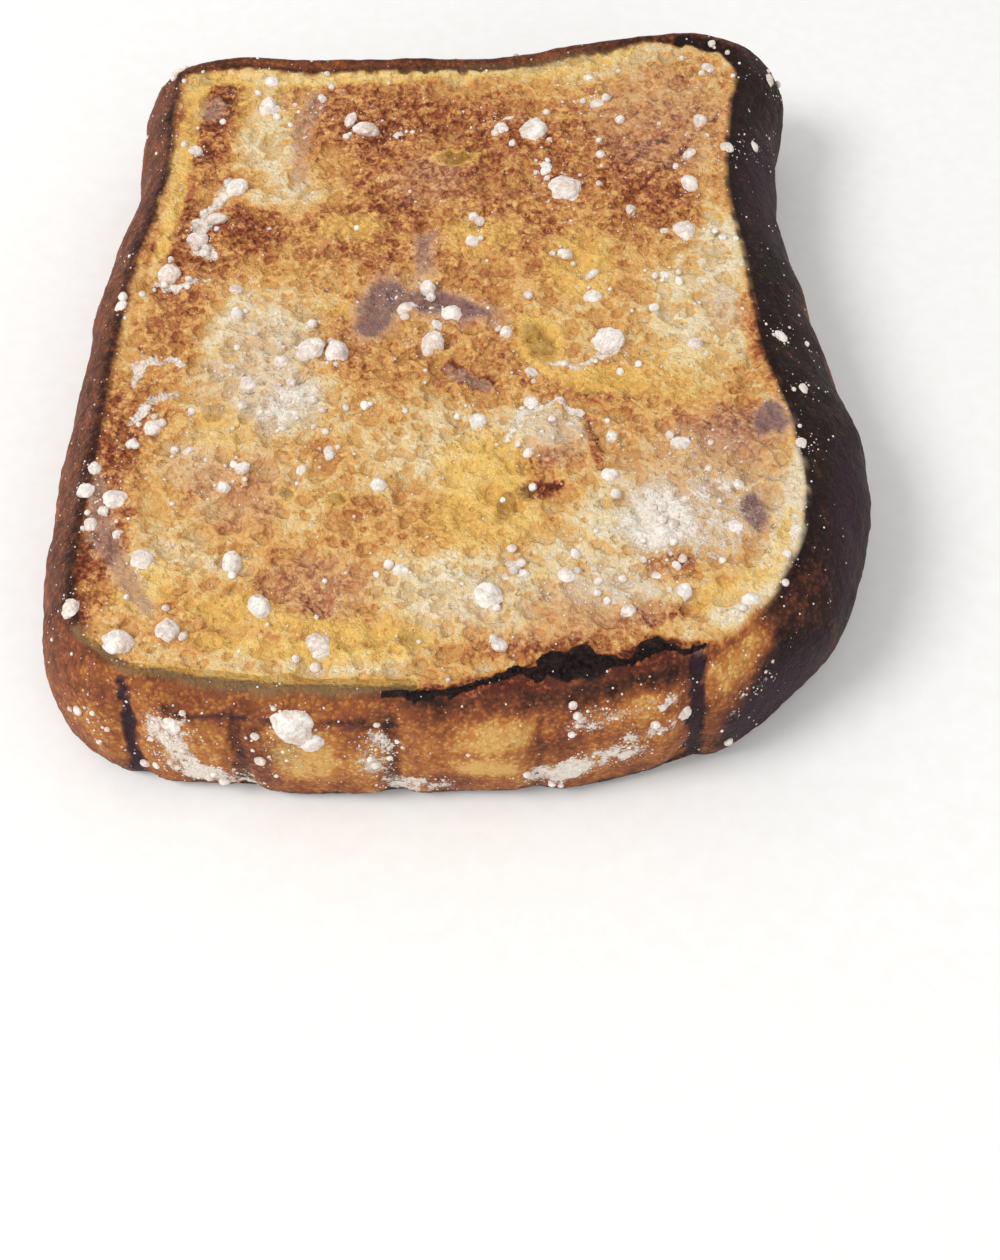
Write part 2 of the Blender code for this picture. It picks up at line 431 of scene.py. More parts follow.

# Low strengths are butter yellow, high ones olive. The full-strength stroke along the near rim is painted
# shade: an olive-grey strip where the face turns down into the near crust.
OLIVE_AND_RIM_SHADE = PatchLayer(patches(
    (17, 10.8, 6, 7.5, 0.38), (11, -3.7, 5, 6, 0.34), (2.5, -25.7, 7.5, 6, 0.42),
    (2.6, -35, 10, 6, 0.34), (-41.5, -44.9, 4.6, 5, 0.34), (-28, -49.4, 9, 2.8, 0.38, -8),
    (-13, -52.4, 10, 2.6, 0.38, -3), (-32, -20.7, 5, 5, 0.3), (-17.4, 18.9, 6, 3.5, 0.34),
    (2.2, 16.8, 7, 5, 0.3), (15, 54, 9, 3, 0.34, 6), (-34, 44, 5, 8, 0.22), (30, -10, 8, 8, 0.24),
    (-2, 33, 3.6, 2.2, 0.8), (11, -5, 2.4, 6, 0.4, 20), (19, -11, 6, 2.6, 0.46),
    (-17, -32, 1.6, 1.6, 0.9), (-24, -31, 1.3, 1.5, 0.9), (6, -33, 1.3, 2.2, 0.8),
    (20, -32, 1.6, 1.5, 0.6), (-34, -6, 2, 1.6, 0.8), (-35, -17, 2, 1.6, 0.8),
    (-30, -18, 1.4, 1.4, 0.7), (-15, 2, 6, 2, 0.35),
) + strokes(
    (0.34, (-33, -53.5, 1.4), (-20, -55.5, 1.9), (-8, -55.5, 2.2), (-5.5, -52.5, 1.8)),
    (0.38, (-43.2, 51, 2), (-44.2, 40, 1.9), (-44.4, 29, 1.6), (-45.6, 12, 1.3)),
    (0.38, (-42.5, 51.2, 2), (-25, 51, 1.8), (-8, 52, 1.5), (8, 54, 1.5), (26, 57.5, 1.8)),
    (0.34, (44.6, -34, 1.6), (40.5, -43.4, 2.2), (31, -47.9, 1.8)),
    # Painted shade along the near rim.
    (1, (-49, -52.5, 0.5), (-42.5, -57.2, 1.1), (-29, -59.6, 1.4), (-17, -60.2, 1.5),
            (-6, -60.2, 0.9)),
), wander=1.2, seed=61)

SUGARY = PatchLayer(patches(
    (-28, -9, 9, 16, 0.38), (-22, -16, 7, 3.6, 0.26, 12), (23.9, -34.5, 6.5, 6.5, 0.4),
    (-30, 40, 4.5, 9, 0.22, 10), (12.5, -20, 6, 4.2, 0.4, 8), (-5, 2, 7, 4, 0.22, -20),
    (20, -46, 11, 4, 0.42), (32, -36, 10, 8, 0.44), (35, -25, 8, 6, 0.32), (36, 8, 5, 13, 0.28),
    (15, 26, 5, 4, 0.3), (0, -46, 9, 5, 0.32), (-40, -38, 7, 12, 0.2),
) + strokes(
    (0.62, (-36.5, 28, 1.6), (-39.5, 21, 2), (-41, 15.7, 1.7), (-38.5, 12.5, 1.4)),
    (0.58, (-46, 7, 0.6), (-43, 5.6, 0.9), (-38, 8, 0.6)),
    (0.6, (-46.8, -12.1, 0.8), (-46.6, -8.4, 1.3), (-44.3, -7, 1.3), (-40.9, -8.1, 0.8)),
    (0.58, (-46.2, -17.9, 1.2), (-44.1, -15.1, 1.5), (-41.2, -13.5, 1)),
    (0.56, (12.1, -7.5, 0.6), (16.4, -9, 0.8), (19.3, -6.1, 0.8), (23.3, -6.1, 0.6)),
    (0.58, (6, -21, 0.7), (7.8, -16.4, 0.9), (13.4, -15.1, 0.9), (16.4, -16.9, 0.7)),
    # A sugar streak along the right lower rim that is also a painted highlight.
    (0.5, (45.6, -33, 0.5), (41.8, -45.4, 0.9), (33, -51.2, 0.6)),
), wander=1.6, seed=73, cell=3)

CHARRED = PatchLayer(patches(
    (14.2, -58, 4.6, 2, 1.3, 3), (11.6, -56.6, 2, 1.2, 1, 20), (15.4, -55.8, 1.9, 1.3, 1),
    (18.2, -56.8, 1.8, 1, 0.9, -10), (24.6, -54.8, 2.1, 1.3, 1.1, 10),
) + strokes(
    (1, (-10, -61.4, 0.2), (-5, -61.9, 0.5), (-1.5, -61.2, 0.6), (1.8, -60.3, 0.65), (4.6, -59.2, 0.7),
            (7.4, -58.1, 0.7), (9.6, -59.2, 0.9)),
    (1, (18.5, -57.6, 0.8), (21.5, -57.2, 0.7), (23.4, -55.8, 0.8)),
    (0.9, (26.4, -54.8, 0.8), (28.5, -55.4, 0.6), (31, -54.4, 0.5)),
), wander=0.9, seed=83, cell=2.2)

# The dark brown halo that surrounds the charred rim.
SCORCHED = PatchLayer(strokes(
    (0.55, (-9, -61.8, 1), (-1.5, -61.6, 1.7), (4.6, -60, 2), (14, -58.6, 3.4), (21.5, -57.4, 2.2),
            (25, -55.4, 2.8), (32, -54.6, 1.2)),
    (0.22, (3, -61.8, 1), (14, -61.2, 1.2), (25, -58.4, 1.2), (31, -56, 1)),
), wander=1.2, seed=85, cell=2.6)

# How far the crust's colour reaches over the edge of the upper face, in millimetres.
CRUST_REACH = PatchLayer(patches(
    (-16, 60, 44, 9, 4.1), (42, 62, 12, 8, 3.2, -25), (-52, -5, 9, 62, 0.5), (48, -10, 10, 30, 0.4),
) + strokes(
    (2.3, (-53, -54, 2.5), (-42, -60.5, 3.5), (-24, -63.2, 3.5), (-6, -63.4, 3)),
), wander=1, seed=89)

# A tan area at the near right corner of the rim.
CORNER_TAN = PatchLayer(patches(
    (34.5, -53.4, 6.4, 3.4, 0.36, 28), (33, -58, 3, 2.2, 0.14),
), wander=1.4, seed=93, cell=3)

# On the near side the areas lie along X and height.
# Pale patches of the near side: pale crumb where the crust is thin, and painted highlights.
NEAR_PALE_AND_HIGHLIGHT = PatchLayer(patches(
    (-21, 14.5, 5.2, 6.4, 0.86), (4.4, 18.2, 5.4, 3, 0.98, 6), (2.6, 11.4, 5, 3, 0.82, -8),
    (23, 20.5, 4, 2.6, 0.7), (37, 20, 5, 4, 0.3), (-34, 15, 3.6, 7, 0.35),
    (-48, 13, 2.2, 7, 0.3), (-13, 12, 2.4, 7, 0.3),
), wander=1.6, seed=91, cell=2.6)

NEAR_SUGAR = PatchLayer(patches(
    (-48, 15, 1.8, 6, 0.5), (-38, 17.4, 4.2, 4.6, 0.84), (-36.8, 9, 4.6, 5.6, 0.82),
    (-31.5, 6, 5.6, 3.6, 0.76, -20), (-11, 14, 3, 6.8, 0.84), (-6, 5, 6.2, 3.4, 0.76),
    (-24, 13, 3, 5, 0.5), (12, 7.6, 5.4, 4, 0.84, 10), (19.5, 10.6, 6.6, 3.6, 0.8, 14),
    (18, 19.4, 5.6, 2.8, 0.72, 15), (26, 20.8, 3.6, 2, 0.66, 10), (25, 15.6, 5.6, 2.2, 0.72, 6),
    (37.5, 15.5, 5, 1.7, 0.58, 35), (-21.5, 20, 5, 3.8, 0.52),
), wander=2.2, seed=97, cell=2.4)

# Darker areas of the near side. The upright strokes darken its folds as painted shade. The two patches at its
# right end darken it towards the dark right side, partly as painted shade. The level stroke near the top and
# the long stroke at the bottom darken it along those lines, and the small patches are darker mottles.
NEAR_DARK_AND_SHADE = PatchLayer(patches(
    (42.5, 9, 8.5, 9.5, 0.56), (44, 18, 6, 5, 0.3), (-26.5, 12, 2.6, 9, 0.18),
    (16, 15, 6, 3, 0.16), (-2, 7, 3.4, 3, 0.12),
) + strokes(
    (0.66, (-42.6, 24, 0.6), (-43.4, 14, 0.8), (-44.4, 2, 0.9)),
    (0.34, (-29, 22.5, 0.7), (-29.5, 2, 1.1)),
    (0.32, (-9, 22, 0.8), (-9.2, 2, 1.1)),
    (0.24, (10, 20, 0.7), (10, 2, 1)),
    (0.7, (30, 24, 0.9), (30.6, 14, 1.1), (31.6, 2, 0.9)),
    (0.3, (-40, 21.6, 0.4), (-24, 20.8, 0.5), (-8, 20.4, 0.5)),
    (0.4, (-50, 1.2, 1.5), (50, 1.2, 1.5)),
), wander=1.3, seed=101, cell=2.2)

# Painted purple sheen on the near side's right corner, and painted shade as purple lines in its creases.
NEAR_PLUM_SHEEN_AND_SHADE = PatchLayer(patches(
    (42, 9, 8, 9, 0.58), (-26.5, 13, 2.4, 8, 0.34), (-23, 15, 2.6, 4, 0.4),
) + strokes(
    (0.7, (-42.6, 24, 0.9), (-43.4, 14, 0.9), (-44.4, 2, 1)),
    (0.7, (30, 24, 1.2), (30.6, 14, 1.2), (31.6, 2, 1)),
    (0.55, (-40, 21.6, 0.4), (-24, 20.8, 0.5), (-8, 20.4, 0.5)),
), wander=1.3, seed=103, cell=2.2)

# On the left and right sides the areas lie along Y and height.
# Painted purple sheen on the dark right crust.
SIDE_PLUM_SHEEN = PatchLayer(patches(
    (29, 20, 15, 4.5, 0.62), (-31, 19, 13, 5, 0.64), (-49, 12, 11, 9, 0.34),
), wander=3, seed=107, cell=4)

SIDE_TAN = PatchLayer(strokes(
    (0.3, (-16, 12, 1), (-4, 13.6, 3.4), (10, 14.6, 4.6), (22, 14, 4), (34, 12, 1)),
    (0.12, (-70, 7, 4.5), (70, 7, 4.5)),
), wander=3.4, seed=109, cell=5)


@dataclass(frozen=True)
class SliceOutline:
    """The outline of the crust from above: a smooth curve through a few points."""

    knots: tuple[Row, ...] = (
        (-58.6, -42), (-56, -53.5), (-49, -61), (-38, -64.2), (-14, -65.7), (8, -65.1), (27, -62.3),
        (40, -56.5), (50.5, -47), (57, -34.5), (59, -17.5), (56, -1.5), (53.1, 14.5), (50.5, 28.5),
        (51.3, 43.5), (53.8, 56), (49.6, 65.4), (37, 68), (20, 66), (2, 62.2), (-20, 61.2),
        (-42, 61.8), (-52.8, 57.6), (-54.8, 45.5), (-54.3, 31.5), (-57, 14.5), (-58.3, -4),
        (-58.6, -24),
    )
    steps_between_knots: int = 60
    normal_reach: float = 4.0 / 152.0

    def curve(self, count: int) -> Array:
        """Walks once round the outline.

        Args:
            count: how many points are wanted.

        Returns:
            The points, evenly spaced.
        """
        knots = np.array(self.knots)
        share = np.arange(self.steps_between_knots)[:, None] / self.steps_between_knots
        dense = np.concatenate([
            through(*(knots[(index + step) % len(knots)] for step in (-1, 0, 1, 2)), share)
            for index in range(len(knots))
        ])
        closed = np.vstack([dense, dense[:1]])
        lengths = np.concatenate([[0.0], np.cumsum(np.linalg.norm(np.diff(closed, axis=0), axis=1))])
        targets = lengths[-1] * np.arange(count) / count
        return np.stack([np.interp(targets, lengths, column) for column in closed.T], axis=1)

    def outward(self, curve: Array) -> Array:
        """Finds which way the crust faces, evened out so that corners stay open.

        Args:
            curve: evenly spaced points along the outline.

        Returns:
            A direction of length 1 at each point.
        """
        reach = round(self.normal_reach * len(curve))
        along = np.roll(curve, -reach, axis=0) - np.roll(curve, reach, axis=0)
        across = np.stack([along[:, 1], -along[:, 0]], axis=1)
        return across / np.linalg.norm(across, axis=1, keepdims=True)


@dataclass(frozen=True)
class BreadForm:
    """The slice's main form: its rounded side, folds, swells and blisters."""

    thickness: float = 25.0
    face_height: float = 24.9
    # Each ring of the side: a fixed inset, a height and a share of the shoulder's width.
    side: tuple[Row, ...] = (
        (2.6, 0, 0), (1.2, 1, 0), (0.3, 3.4, 0), (0, 8, 0), (0, 12.5, 0.02), (0, 17, 0.14),
        (0, 20.4, 0.36), (0, 22.8, 0.6), (0, 24.2, 0.8), (0, 24.9, 1),
    )
    # Folds in the near side's crust: place along X, half width, depth.
    folds: tuple[Row, ...] = (
        (-44, 2.2, 1.3), (-29.5, 2.4, 0.8), (-9, 2.6, 0.8), (10, 2, 0.6), (31, 2.4, 1.5),
    )
    # Swells and hollows of the upper face: X, Y, radius, height.
    swells: tuple[Row, ...] = (
        (12.5, -22, 6.5, 0.7), (-24, -14, 13, 0.5), (34, -30, 14, 0.5), (-8, 4, 9, -0.5),
        (4, 30, 15, 0.4), (-33, 26, 10, -0.4), (38, 12, 10, 0.4), (-4, -40, 14, 0.3),
        (-41, -34, 10, -0.3), (22, -4, 8, -0.3),
    )
    # Charred blisters on the near rim: X, Y, radius along X, radius along Y, height.
    blisters: tuple[Row, ...] = (
        (14, -58.6, 5.4, 2.6, 1.2), (24.5, -55.6, 3.2, 2, 0.8), (-4, -61.6, 4.2, 1.8, 0.6),
        (4.5, -61, 2.6, 1.6, 0.5),
    )
    # The shoulder's width at the near side, and how much wider it is at the others.
    shoulder: float = 4.6
    wider_right: float = 5.0
    wider_left: float = 3.4
    wider_far: float = 1.6
    # The belly of the right shoulder: its width, its place along Y and its reach.
    belly: Row = (4.0, -8.0, 30.0)
    # The crust is drawn in by this much below the shoulder, where its waves start.
    draw_in: float = 0.3
    draw_in_start: float = 1.5
    draw_in_depth: float = 5.0
    # Waves of the side: depth, then their rates along X, along Y and upwards.
    waves: tuple[Row, ...] = ((0.28, 0.21, 0.16, 0.12), (0.18, -0.31, 0.43, -0.2))
    # The face's broad roll, as its height with a rate and a start along X and along Y,
    # and its ripples: height, rate along X, rate along Y and start.
    roll: Row = (0.22, 0.115, 0.6, 0.098, -0.4)
    ripples: tuple[Row, ...] = ((0.12, 0.23, -0.17, 0.0), (0.1, 0.19, 0.27, 1.3))

    def profile(self, count: int) -> Array:
        """Spaces rings smoothly between the named ones of the side.

        Args:
            count: how many rings are wanted.

        Returns:
            One row for each ring, like the named ones.
        """
        rings = np.array(self.side)
        padded = np.vstack([2 * rings[0] - rings[1], rings, 2 * rings[-1] - rings[-2]])
        places = np.linspace(0.0, len(rings) - 1.0, count)
        start = np.minimum(places.astype(int), len(rings) - 2)
        curve = through(*(padded[start + step] for step in range(4)), (places - start)[:, None])
        curve[:, 1] = np.maximum(curve[:, 1], 0.0)
        return curve

    def shoulder_width(self, y: Array, outward: Array) -> Array:
        """Measures the rounded shoulder, widest on the right and slim at the near side.

        Args:
            y: places along Y.
            outward: which way the crust faces there.

        Returns:
            The shoulder's width at each place.
        """
        right = np.maximum(0.0, outward[:, 0])
        left = np.maximum(0.0, -outward[:, 0])
        far = np.maximum(0.0, outward[:, 1])
        width, middle, reach = self.belly
        wider_right = self.wider_right + width * hump(y, middle, reach)
        return self.shoulder + wider_right * right + self.wider_left * left + self.wider_far * far

    def side_depth(self, curve: Array, outward: Array, height: float) -> Array:
        """Measures how far the crust is drawn in by its folds and waves.

        Args:
            curve: points along the outline.
            outward: which way the crust faces there.
            height: the height above the ground.

        Returns:
            The depth at each point.
        """
        x, y = curve.T
        level = (self.thickness - self.draw_in_start - height) / self.draw_in_depth
        near = np.maximum(0.0, -outward[:, 1])
        folds = sum(depth * hump(x, place, width) for place, width, depth in self.folds)
        waves = sum(
            depth * np.sin(along * x + across * y + up * height) for depth, along, across, up in self.waves
        )
        return min(1.0, max(0.0, level)) * (near ** 3 * folds + self.draw_in + waves)

    def face_relief(self, x: Array, y: Array) -> Array:
        """Measures the swells and hollows of the upper face.

        Args:
            x: places along X.
            y: places along Y.

        Returns:
            The height above the face's plane.
        """
        tall, rate_x, start_x, rate_y, start_y = self.roll
        relief = tall * np.sin(rate_x * x + start_x) * np.sin(rate_y * y + start_y)
        relief += sum(
            tall * np.sin(along * x + across * y + start) for tall, along, across, start in self.ripples
        )
        for place_x, place_y, radius, height in self.swells:
            relief += height * np.exp(-((x - place_x) ** 2 + (y - place_y) ** 2) / radius ** 2)
        return relief

    def blister_relief(self, x: Array, y: Array) -> Array:
        """Measures the charred blisters on the near rim.

        Args:
            x: places along X.
            y: places along Y.

        Returns:
            Their height at each place.
        """
        return sum(
            height * np.exp(-(((x - place_x) / along) ** 2) - ((y - place_y) / across) ** 2)
            for place_x, place_y, along, across, height in self.blisters
        )

    def ring(self, curve: Array, outward: Array, row: Array) -> Array:
        """Lays one ring of the side.

        Args:
            curve: points along the outline.
            outward: which way the crust faces there.
            row: the ring's row of the profile.

        Returns:
            The ring's points.
        """
        inset, height, share = row
        depth = inset + share * self.shoulder_width(curve[:, 1], outward)
        if height > 0.0:
            depth = depth + self.side_depth(curve, outward, height)
        place = curve - outward * depth[:, None]
        lift = share * (self.blister_relief(*place.T) + share * self.face_relief(*place.T))
        return np.column_stack([place, height + lift])


def add_object(name: str, data: bpy.types.ID) -> Piece:
    """Makes an object and links it to the scene.

    Args:
        name: the object's name.
        data: its mesh, light or camera.

    Returns:
        The object.
    """
    made = bpy.data.objects.new(name, data)
    bpy.context.scene.collection.objects.link(made)
    return made


def add_shape(name: str, points: Array, faces: list) -> Piece:
    """Makes a smooth mesh and its object.

    Args:
        name: the object's name.
        points: the mesh's points.
        faces: the indices of each face's points.

    Returns:
        The object.
    """
    mesh = bpy.data.meshes.new(name)
    mesh.from_pydata((points * MM).tolist(), [], faces)
    mesh.update()
    mesh.shade_smooth()
    return add_object(name, mesh)


@dataclass(frozen=True)
class FineRelief:
    """The fine relief of the crumb, the char and the crust, in millimetres."""

    bubbles: tuple[Bubbles, ...] = (
        Bubbles(spacing=1.9, smallest=0.42, largest=0.95, share=0.80, deep=1.15, seed=23),
        Bubbles(spacing=4.0, smallest=0.80, largest=1.60, share=0.60, deep=0.95, seed=29),
        Bubbles(spacing=10.0, smallest=1.30, largest=2.30, share=0.50, deep=0.70, seed=37),
    )
    bubble_wobble: Noises = (
        Unevenness(1.6, 201, 2, amount=0.35),
        Unevenness(1.6, 207, 2, amount=0.35),
    )
    # Bubbles start this far inside the rim, and are fewer where the crumb is dense.
    bubble_start: Row = (0.8, 3.0)
    dense_crumb: Unevenness = Unevenness(12.0, 211)
    dense_share: float = 0.55
    dense_limits: Row = (-0.4, 0.4)

    lumps: Noises = (
        Unevenness(7.0, 3, 2, amount=0.30),
        Unevenness(2.2, 9, 3, amount=0.20),
    )
    # The torn flake: its middle, its reach along X and Y, its edge and its height.
    flake: Row = (12.5, -21.0, 6.0, 5.2)
    flake_edge: Row = (0.72, 0.98)
    flake_wander: Unevenness = Unevenness(3.5, 17, 3, amount=0.28)
    flake_height: float = 0.42
    flake_level: float = 0.75
    flake_top: Unevenness = Unevenness(1.8, 19, 2, amount=0.5)
    # The lip that the crust raises round the face: its height, place and half width.
    lip: Row = (0.3, -0.8, 1.1)
    lip_change: Unevenness = Unevenness(4.0, 29, 2, amount=0.25)
    char_heights: Row = (18.5, 20.5)
    crackle: Unevenness = Unevenness(2.0, 311, 3)
    crackle_height: float = 0.75
    crackle_sink: float = 0.1

    # Creases of the crust, and how the upright ones gather at the near side and the level ones
    # keep away from it.
    upright_creases: Unevenness = Unevenness(2.6, 41, 3, stretch=(1.0, 1.0, 0.32))
    upright_depth: float = 0.30
    upright_elsewhere: float = 0.35
    upright_more_near: float = 0.65
    level_creases: Unevenness = Unevenness(3.4, 43, 3, stretch=(0.35, 0.35, 1.3))
    level_depth: float = 0.26
    level_less_near: float = 0.7
    crust_swells: Noises = (
        Unevenness(9.0, 45, 2, amount=0.30),
        Unevenness(1.2, 51, 2, amount=0.10),
    )
    crust_rise: float = 0.2
    foot: Row = (0.3, 3.0)

    def pores(self, places: Array, edge: Array) -> tuple[Array, Array]:
        """Opens the bubbles in the upper face.

        Args:
            places: points of the face.
            edge: how far inside the rim they lie.

        Returns:
            The depth and the mask of the pores at each point.
        """
        x, y = (places[:, axis] + wobble.at(places) for axis, wobble in enumerate(self.bubble_wobble))
        loose = ease(self.dense_crumb.at(places), *self.dense_limits)
        crowd = self.dense_share + (1.0 - self.dense_share) * loose
        open_here = ease(edge, *self.bubble_start) * crowd
        depths, masks = zip(*(size.hollows(x, y) for size in self.bubbles))
        return np.max(depths, axis=0) * open_here, np.max(masks, axis=0) * open_here

    def crumb_rise(self, flat: Array) -> Array:
        """Measures the lumps of the crumb and the torn flake.

        Args:
            flat: points without their height.

        Returns:
            The rise at each point.
        """
        x, y, reach_x, reach_y = self.flake
        away = np.hypot((flat[:, 0] - x) / reach_x, (flat[:, 1] - y) / reach_y)
        flake = 1.0 - ease(away + self.flake_wander.at(flat), *self.flake_edge)
        top = self.flake_level + self.flake_top.at(flat)
        return together(self.lumps, flat) + self.flake_height * flake * top

    def lip_rise(self, points: Array, edge: Array) -> Array:
        """Returns the rise of the lip round the face."""
        height, middle, reach = self.lip
        return hump(edge, middle, reach) * (height + self.lip_change.at(points))

    def wrinkles(self, points: Array, near: Array) -> Array:
        """Creases the crust, upright at the near side and level elsewhere.

        Args:
            points: the points.
            near: how far each point belongs to the near side.

        Returns:
            How far the crust stands out at each point.
        """
        gathered = self.upright_elsewhere + self.upright_more_near * near
        upright = (1.0 - np.abs(self.upright_creases.at(points))) ** 3 * gathered
        level = (1.0 - np.abs(self.level_creases.at(points))) ** 4 * (1.0 - self.level_less_near * near)
        creases = -self.upright_depth * upright - self.level_depth * level
        foot = ease(points[:, 2], *self.foot)
        return foot * (creases + together(self.crust_swells, points) + self.crust_rise)


@dataclass(frozen=True)
class Frying:
    """How brown the fried faces are, from 0, pale, to 1, nearly black."""

    middle: float = 0.39
    blotches: Noises = (
        Unevenness(15.0, 61, 2, amount=0.13),
        Unevenness(5.5, 63, 3, amount=0.15),
        Unevenness(2.0, 67, 3, 0.6, amount=0.10),
    )
    scorched_heights: Row = (17.0, 21.0)
    # The pale line inside the crust: its strength, its place and its half width.
    pale_line: Row = (0.16, 3.0, 1.5)
    pale_change: Unevenness = Unevenness(8.0, 71, 2, amount=0.12)
    raised_share: float = 0.05
    raised_limits: Row = (-1.0, 1.5)
    underside: float = 0.62
    underside_change: Unevenness = Unevenness(9.0, 73, 4, amount=0.3)

    def scorch(self, flat: Array, height: Array) -> Array:
        """Returns the strength of the scorched halo at each point."""
        return SCORCHED.cover(flat) * ease(height, *self.scorched_heights)

    def upper(self, flat: Array, edge: Array, raised: Array) -> Array:
        """Browns the upper face.

        Args:
            flat: points without their height.
            edge: how far inside the rim they lie.
            raised: how far they stand above the face's plane.

        Returns:
            The browning at each point.
        """
        strength, middle, reach = self.pale_line
        pale_line = hump(edge, middle, reach) * (strength + self.pale_change.at(flat))
        browning = self.middle + together(self.blotches, flat) + BROWNER.cover(flat) - PALER.cover(flat)
        return browning - pale_line + self.raised_share * np.clip(raised, *self.raised_limits)

    def lower(self, flat: Array) -> Array:
        """Returns the browning of the lower face."""
        return self.underside + self.underside_change.at(flat)


@dataclass(frozen=True)
class CrustSide:
    """One side of the crust: the way it faces, where it starts and ends, and its tone."""

    axis: int
    sign: float
    start: float
    end: float
    tone: float

    def share(self, outwards: Array) -> Array:
        """Returns how far each point belongs to the side."""
        return ease(self.sign * outwards[:, self.axis], self.start, self.end)


@dataclass(frozen=True)
class Baking:
    """How dark the crust is baked, from 0, tan, to 1, nearly black."""

    # The right side's dark tone is partly painted shade: that crust is baked darker, and it is also darkened
    # as the shaded side.
    right: CrustSide = CrustSide(axis=0, sign=1.0, start=0.15, end=0.75, tone=0.93)
    left: CrustSide = CrustSide(axis=0, sign=-1.0, start=0.25, end=0.8, tone=0.50)
    far: CrustSide = CrustSide(axis=1, sign=1.0, start=0.3, end=0.8, tone=0.54)
    near: CrustSide = CrustSide(axis=1, sign=-1.0, start=0.45, end=0.85, tone=0.31)
    # The side is paler in a band at half height: its middle and its half width.
    band: Row = (12.0, 7.0)
    band_strength: float = 0.16
    band_middle_tone: float = -0.05
    # The tone of the crust that lies on the face, and where it grows darker. The dark part on the right is
    # partly painted shade.
    rim_tone: float = 0.50
    rim_far: Row = (40.0, 0.55)
    rim_right: Row = (34.0, 0.9)
    corner_heights: Row = (15.0, 20.0)
    # How much the pale patches, partly painted highlights, lighten the near side.
    near_pale_and_highlight_share: float = 0.45
    mottle: Noises = (
        Unevenness(7.0, 87, 4, 0.6, amount=0.16),
        Unevenness(1.6, 89, 3, stretch=(1.0, 1.0, 0.4), amount=0.10),
    )
    near_streaks: Unevenness = Unevenness(5.0, 91, 2, stretch=(1.0, 1.0, 0.22), amount=0.16)
    # The dark line where the crust meets the face: its strength, its place and its half width.
    line: Row = (0.16, -1.0, 0.8)
    line_fainter_far: float = 0.10
    scorch_share: float = 0.30
    reach_drop_near: float = 0.9
    reach_drop_start: Row = (0.5, 0.9)
    reach_wander: Unevenness = Unevenness(3.2, 81, 3, amount=0.75)
    reach_softness: float = 0.45

    def tone(self, points: Array, outwards: Array, on_face: Array, beyond: Array,
             scorch: Array) -> Array:
        """Works out the crust's tone.

        Args:
            points: the points.
            outwards: which way the crust faces there.
            on_face: which points belong to the upper face.
            beyond: how far inside the crust's inner edge they lie.
            scorch: the strength of the scorched halo.

        Returns:
            The tone at each point.
        """
        x, y, z = points.T
        flat = points * FLATTENED
        sides = (self.right, self.left, self.far, self.near)
        shares = [side.share(outwards) for side in sides]
        right, _, far, near = shares
        tone = sum(side.tone * share for side, share in zip(sides, shares)) / (sum(shares) + 1e-6)
        tone += (1.0 - right) * (self.band_strength * (1.0 - hump(z, *self.band)) + self.band_middle_tone)
        rim = np.where(x > self.rim_right[0], self.rim_right[1],
                       np.where(y > self.rim_far[0], self.rim_far[1], self.rim_tone))
        tone = np.where(on_face, rim, tone) - CORNER_TAN.cover(flat) * ease(z, *self.corner_heights)
        # On the near side: painted crease shade among the darker areas, and pale patches that are partly
        # painted highlights.
        pale = self.near_pale_and_highlight_share * NEAR_PALE_AND_HIGHLIGHT.cover(points, FROM_NEAR)
        tone += near * (NEAR_DARK_AND_SHADE.cover(points, FROM_NEAR) - pale + self.near_streaks.at(points))
        tone += together(self.mottle, points) - right * SIDE_TAN.cover(points, FROM_SIDE)
        strength, middle, width = self.line
        line = (strength - self.line_fainter_far * far) * hump(beyond, middle, width)
        return tone + line + self.scorch_share * scorch


@dataclass(frozen=True)
class SugarFilm:
    """The thin film of icing sugar on the bread, from 0, bare, to 1, white."""

    crust_share: float = 0.4
    near_heights: Row = (24.5, 1.5, -0.5)
    patchiness: float = 0.78
    patchy: Unevenness = Unevenness(3.0, 95, 4, 0.65, amount=0.62)
    haze: float = 0.09
    haze_start: float = -3.0

    def cover(self, points: Array, on_face: Array, near: Array,
              edge: Array) -> Array:
        """Works out the film.

        Args:
            points: the points.
            on_face: which points belong to the upper face.
            near: how far each point belongs to the near side.
            edge: how far inside the rim they lie.

        Returns:
            The film's strength at each point.
        """
        top, start, end = self.near_heights
        beside = near * ease(top - points[:, 2], end, start) * (self.patchiness + self.patchy.at(points))
        film = SUGARY.cover(points * FLATTENED) * np.where(on_face, 1.0, self.crust_share)
        film += beside * NEAR_SUGAR.cover(points, FROM_NEAR)
        return film + self.haze * ease(edge, self.haze_start, 0.0)


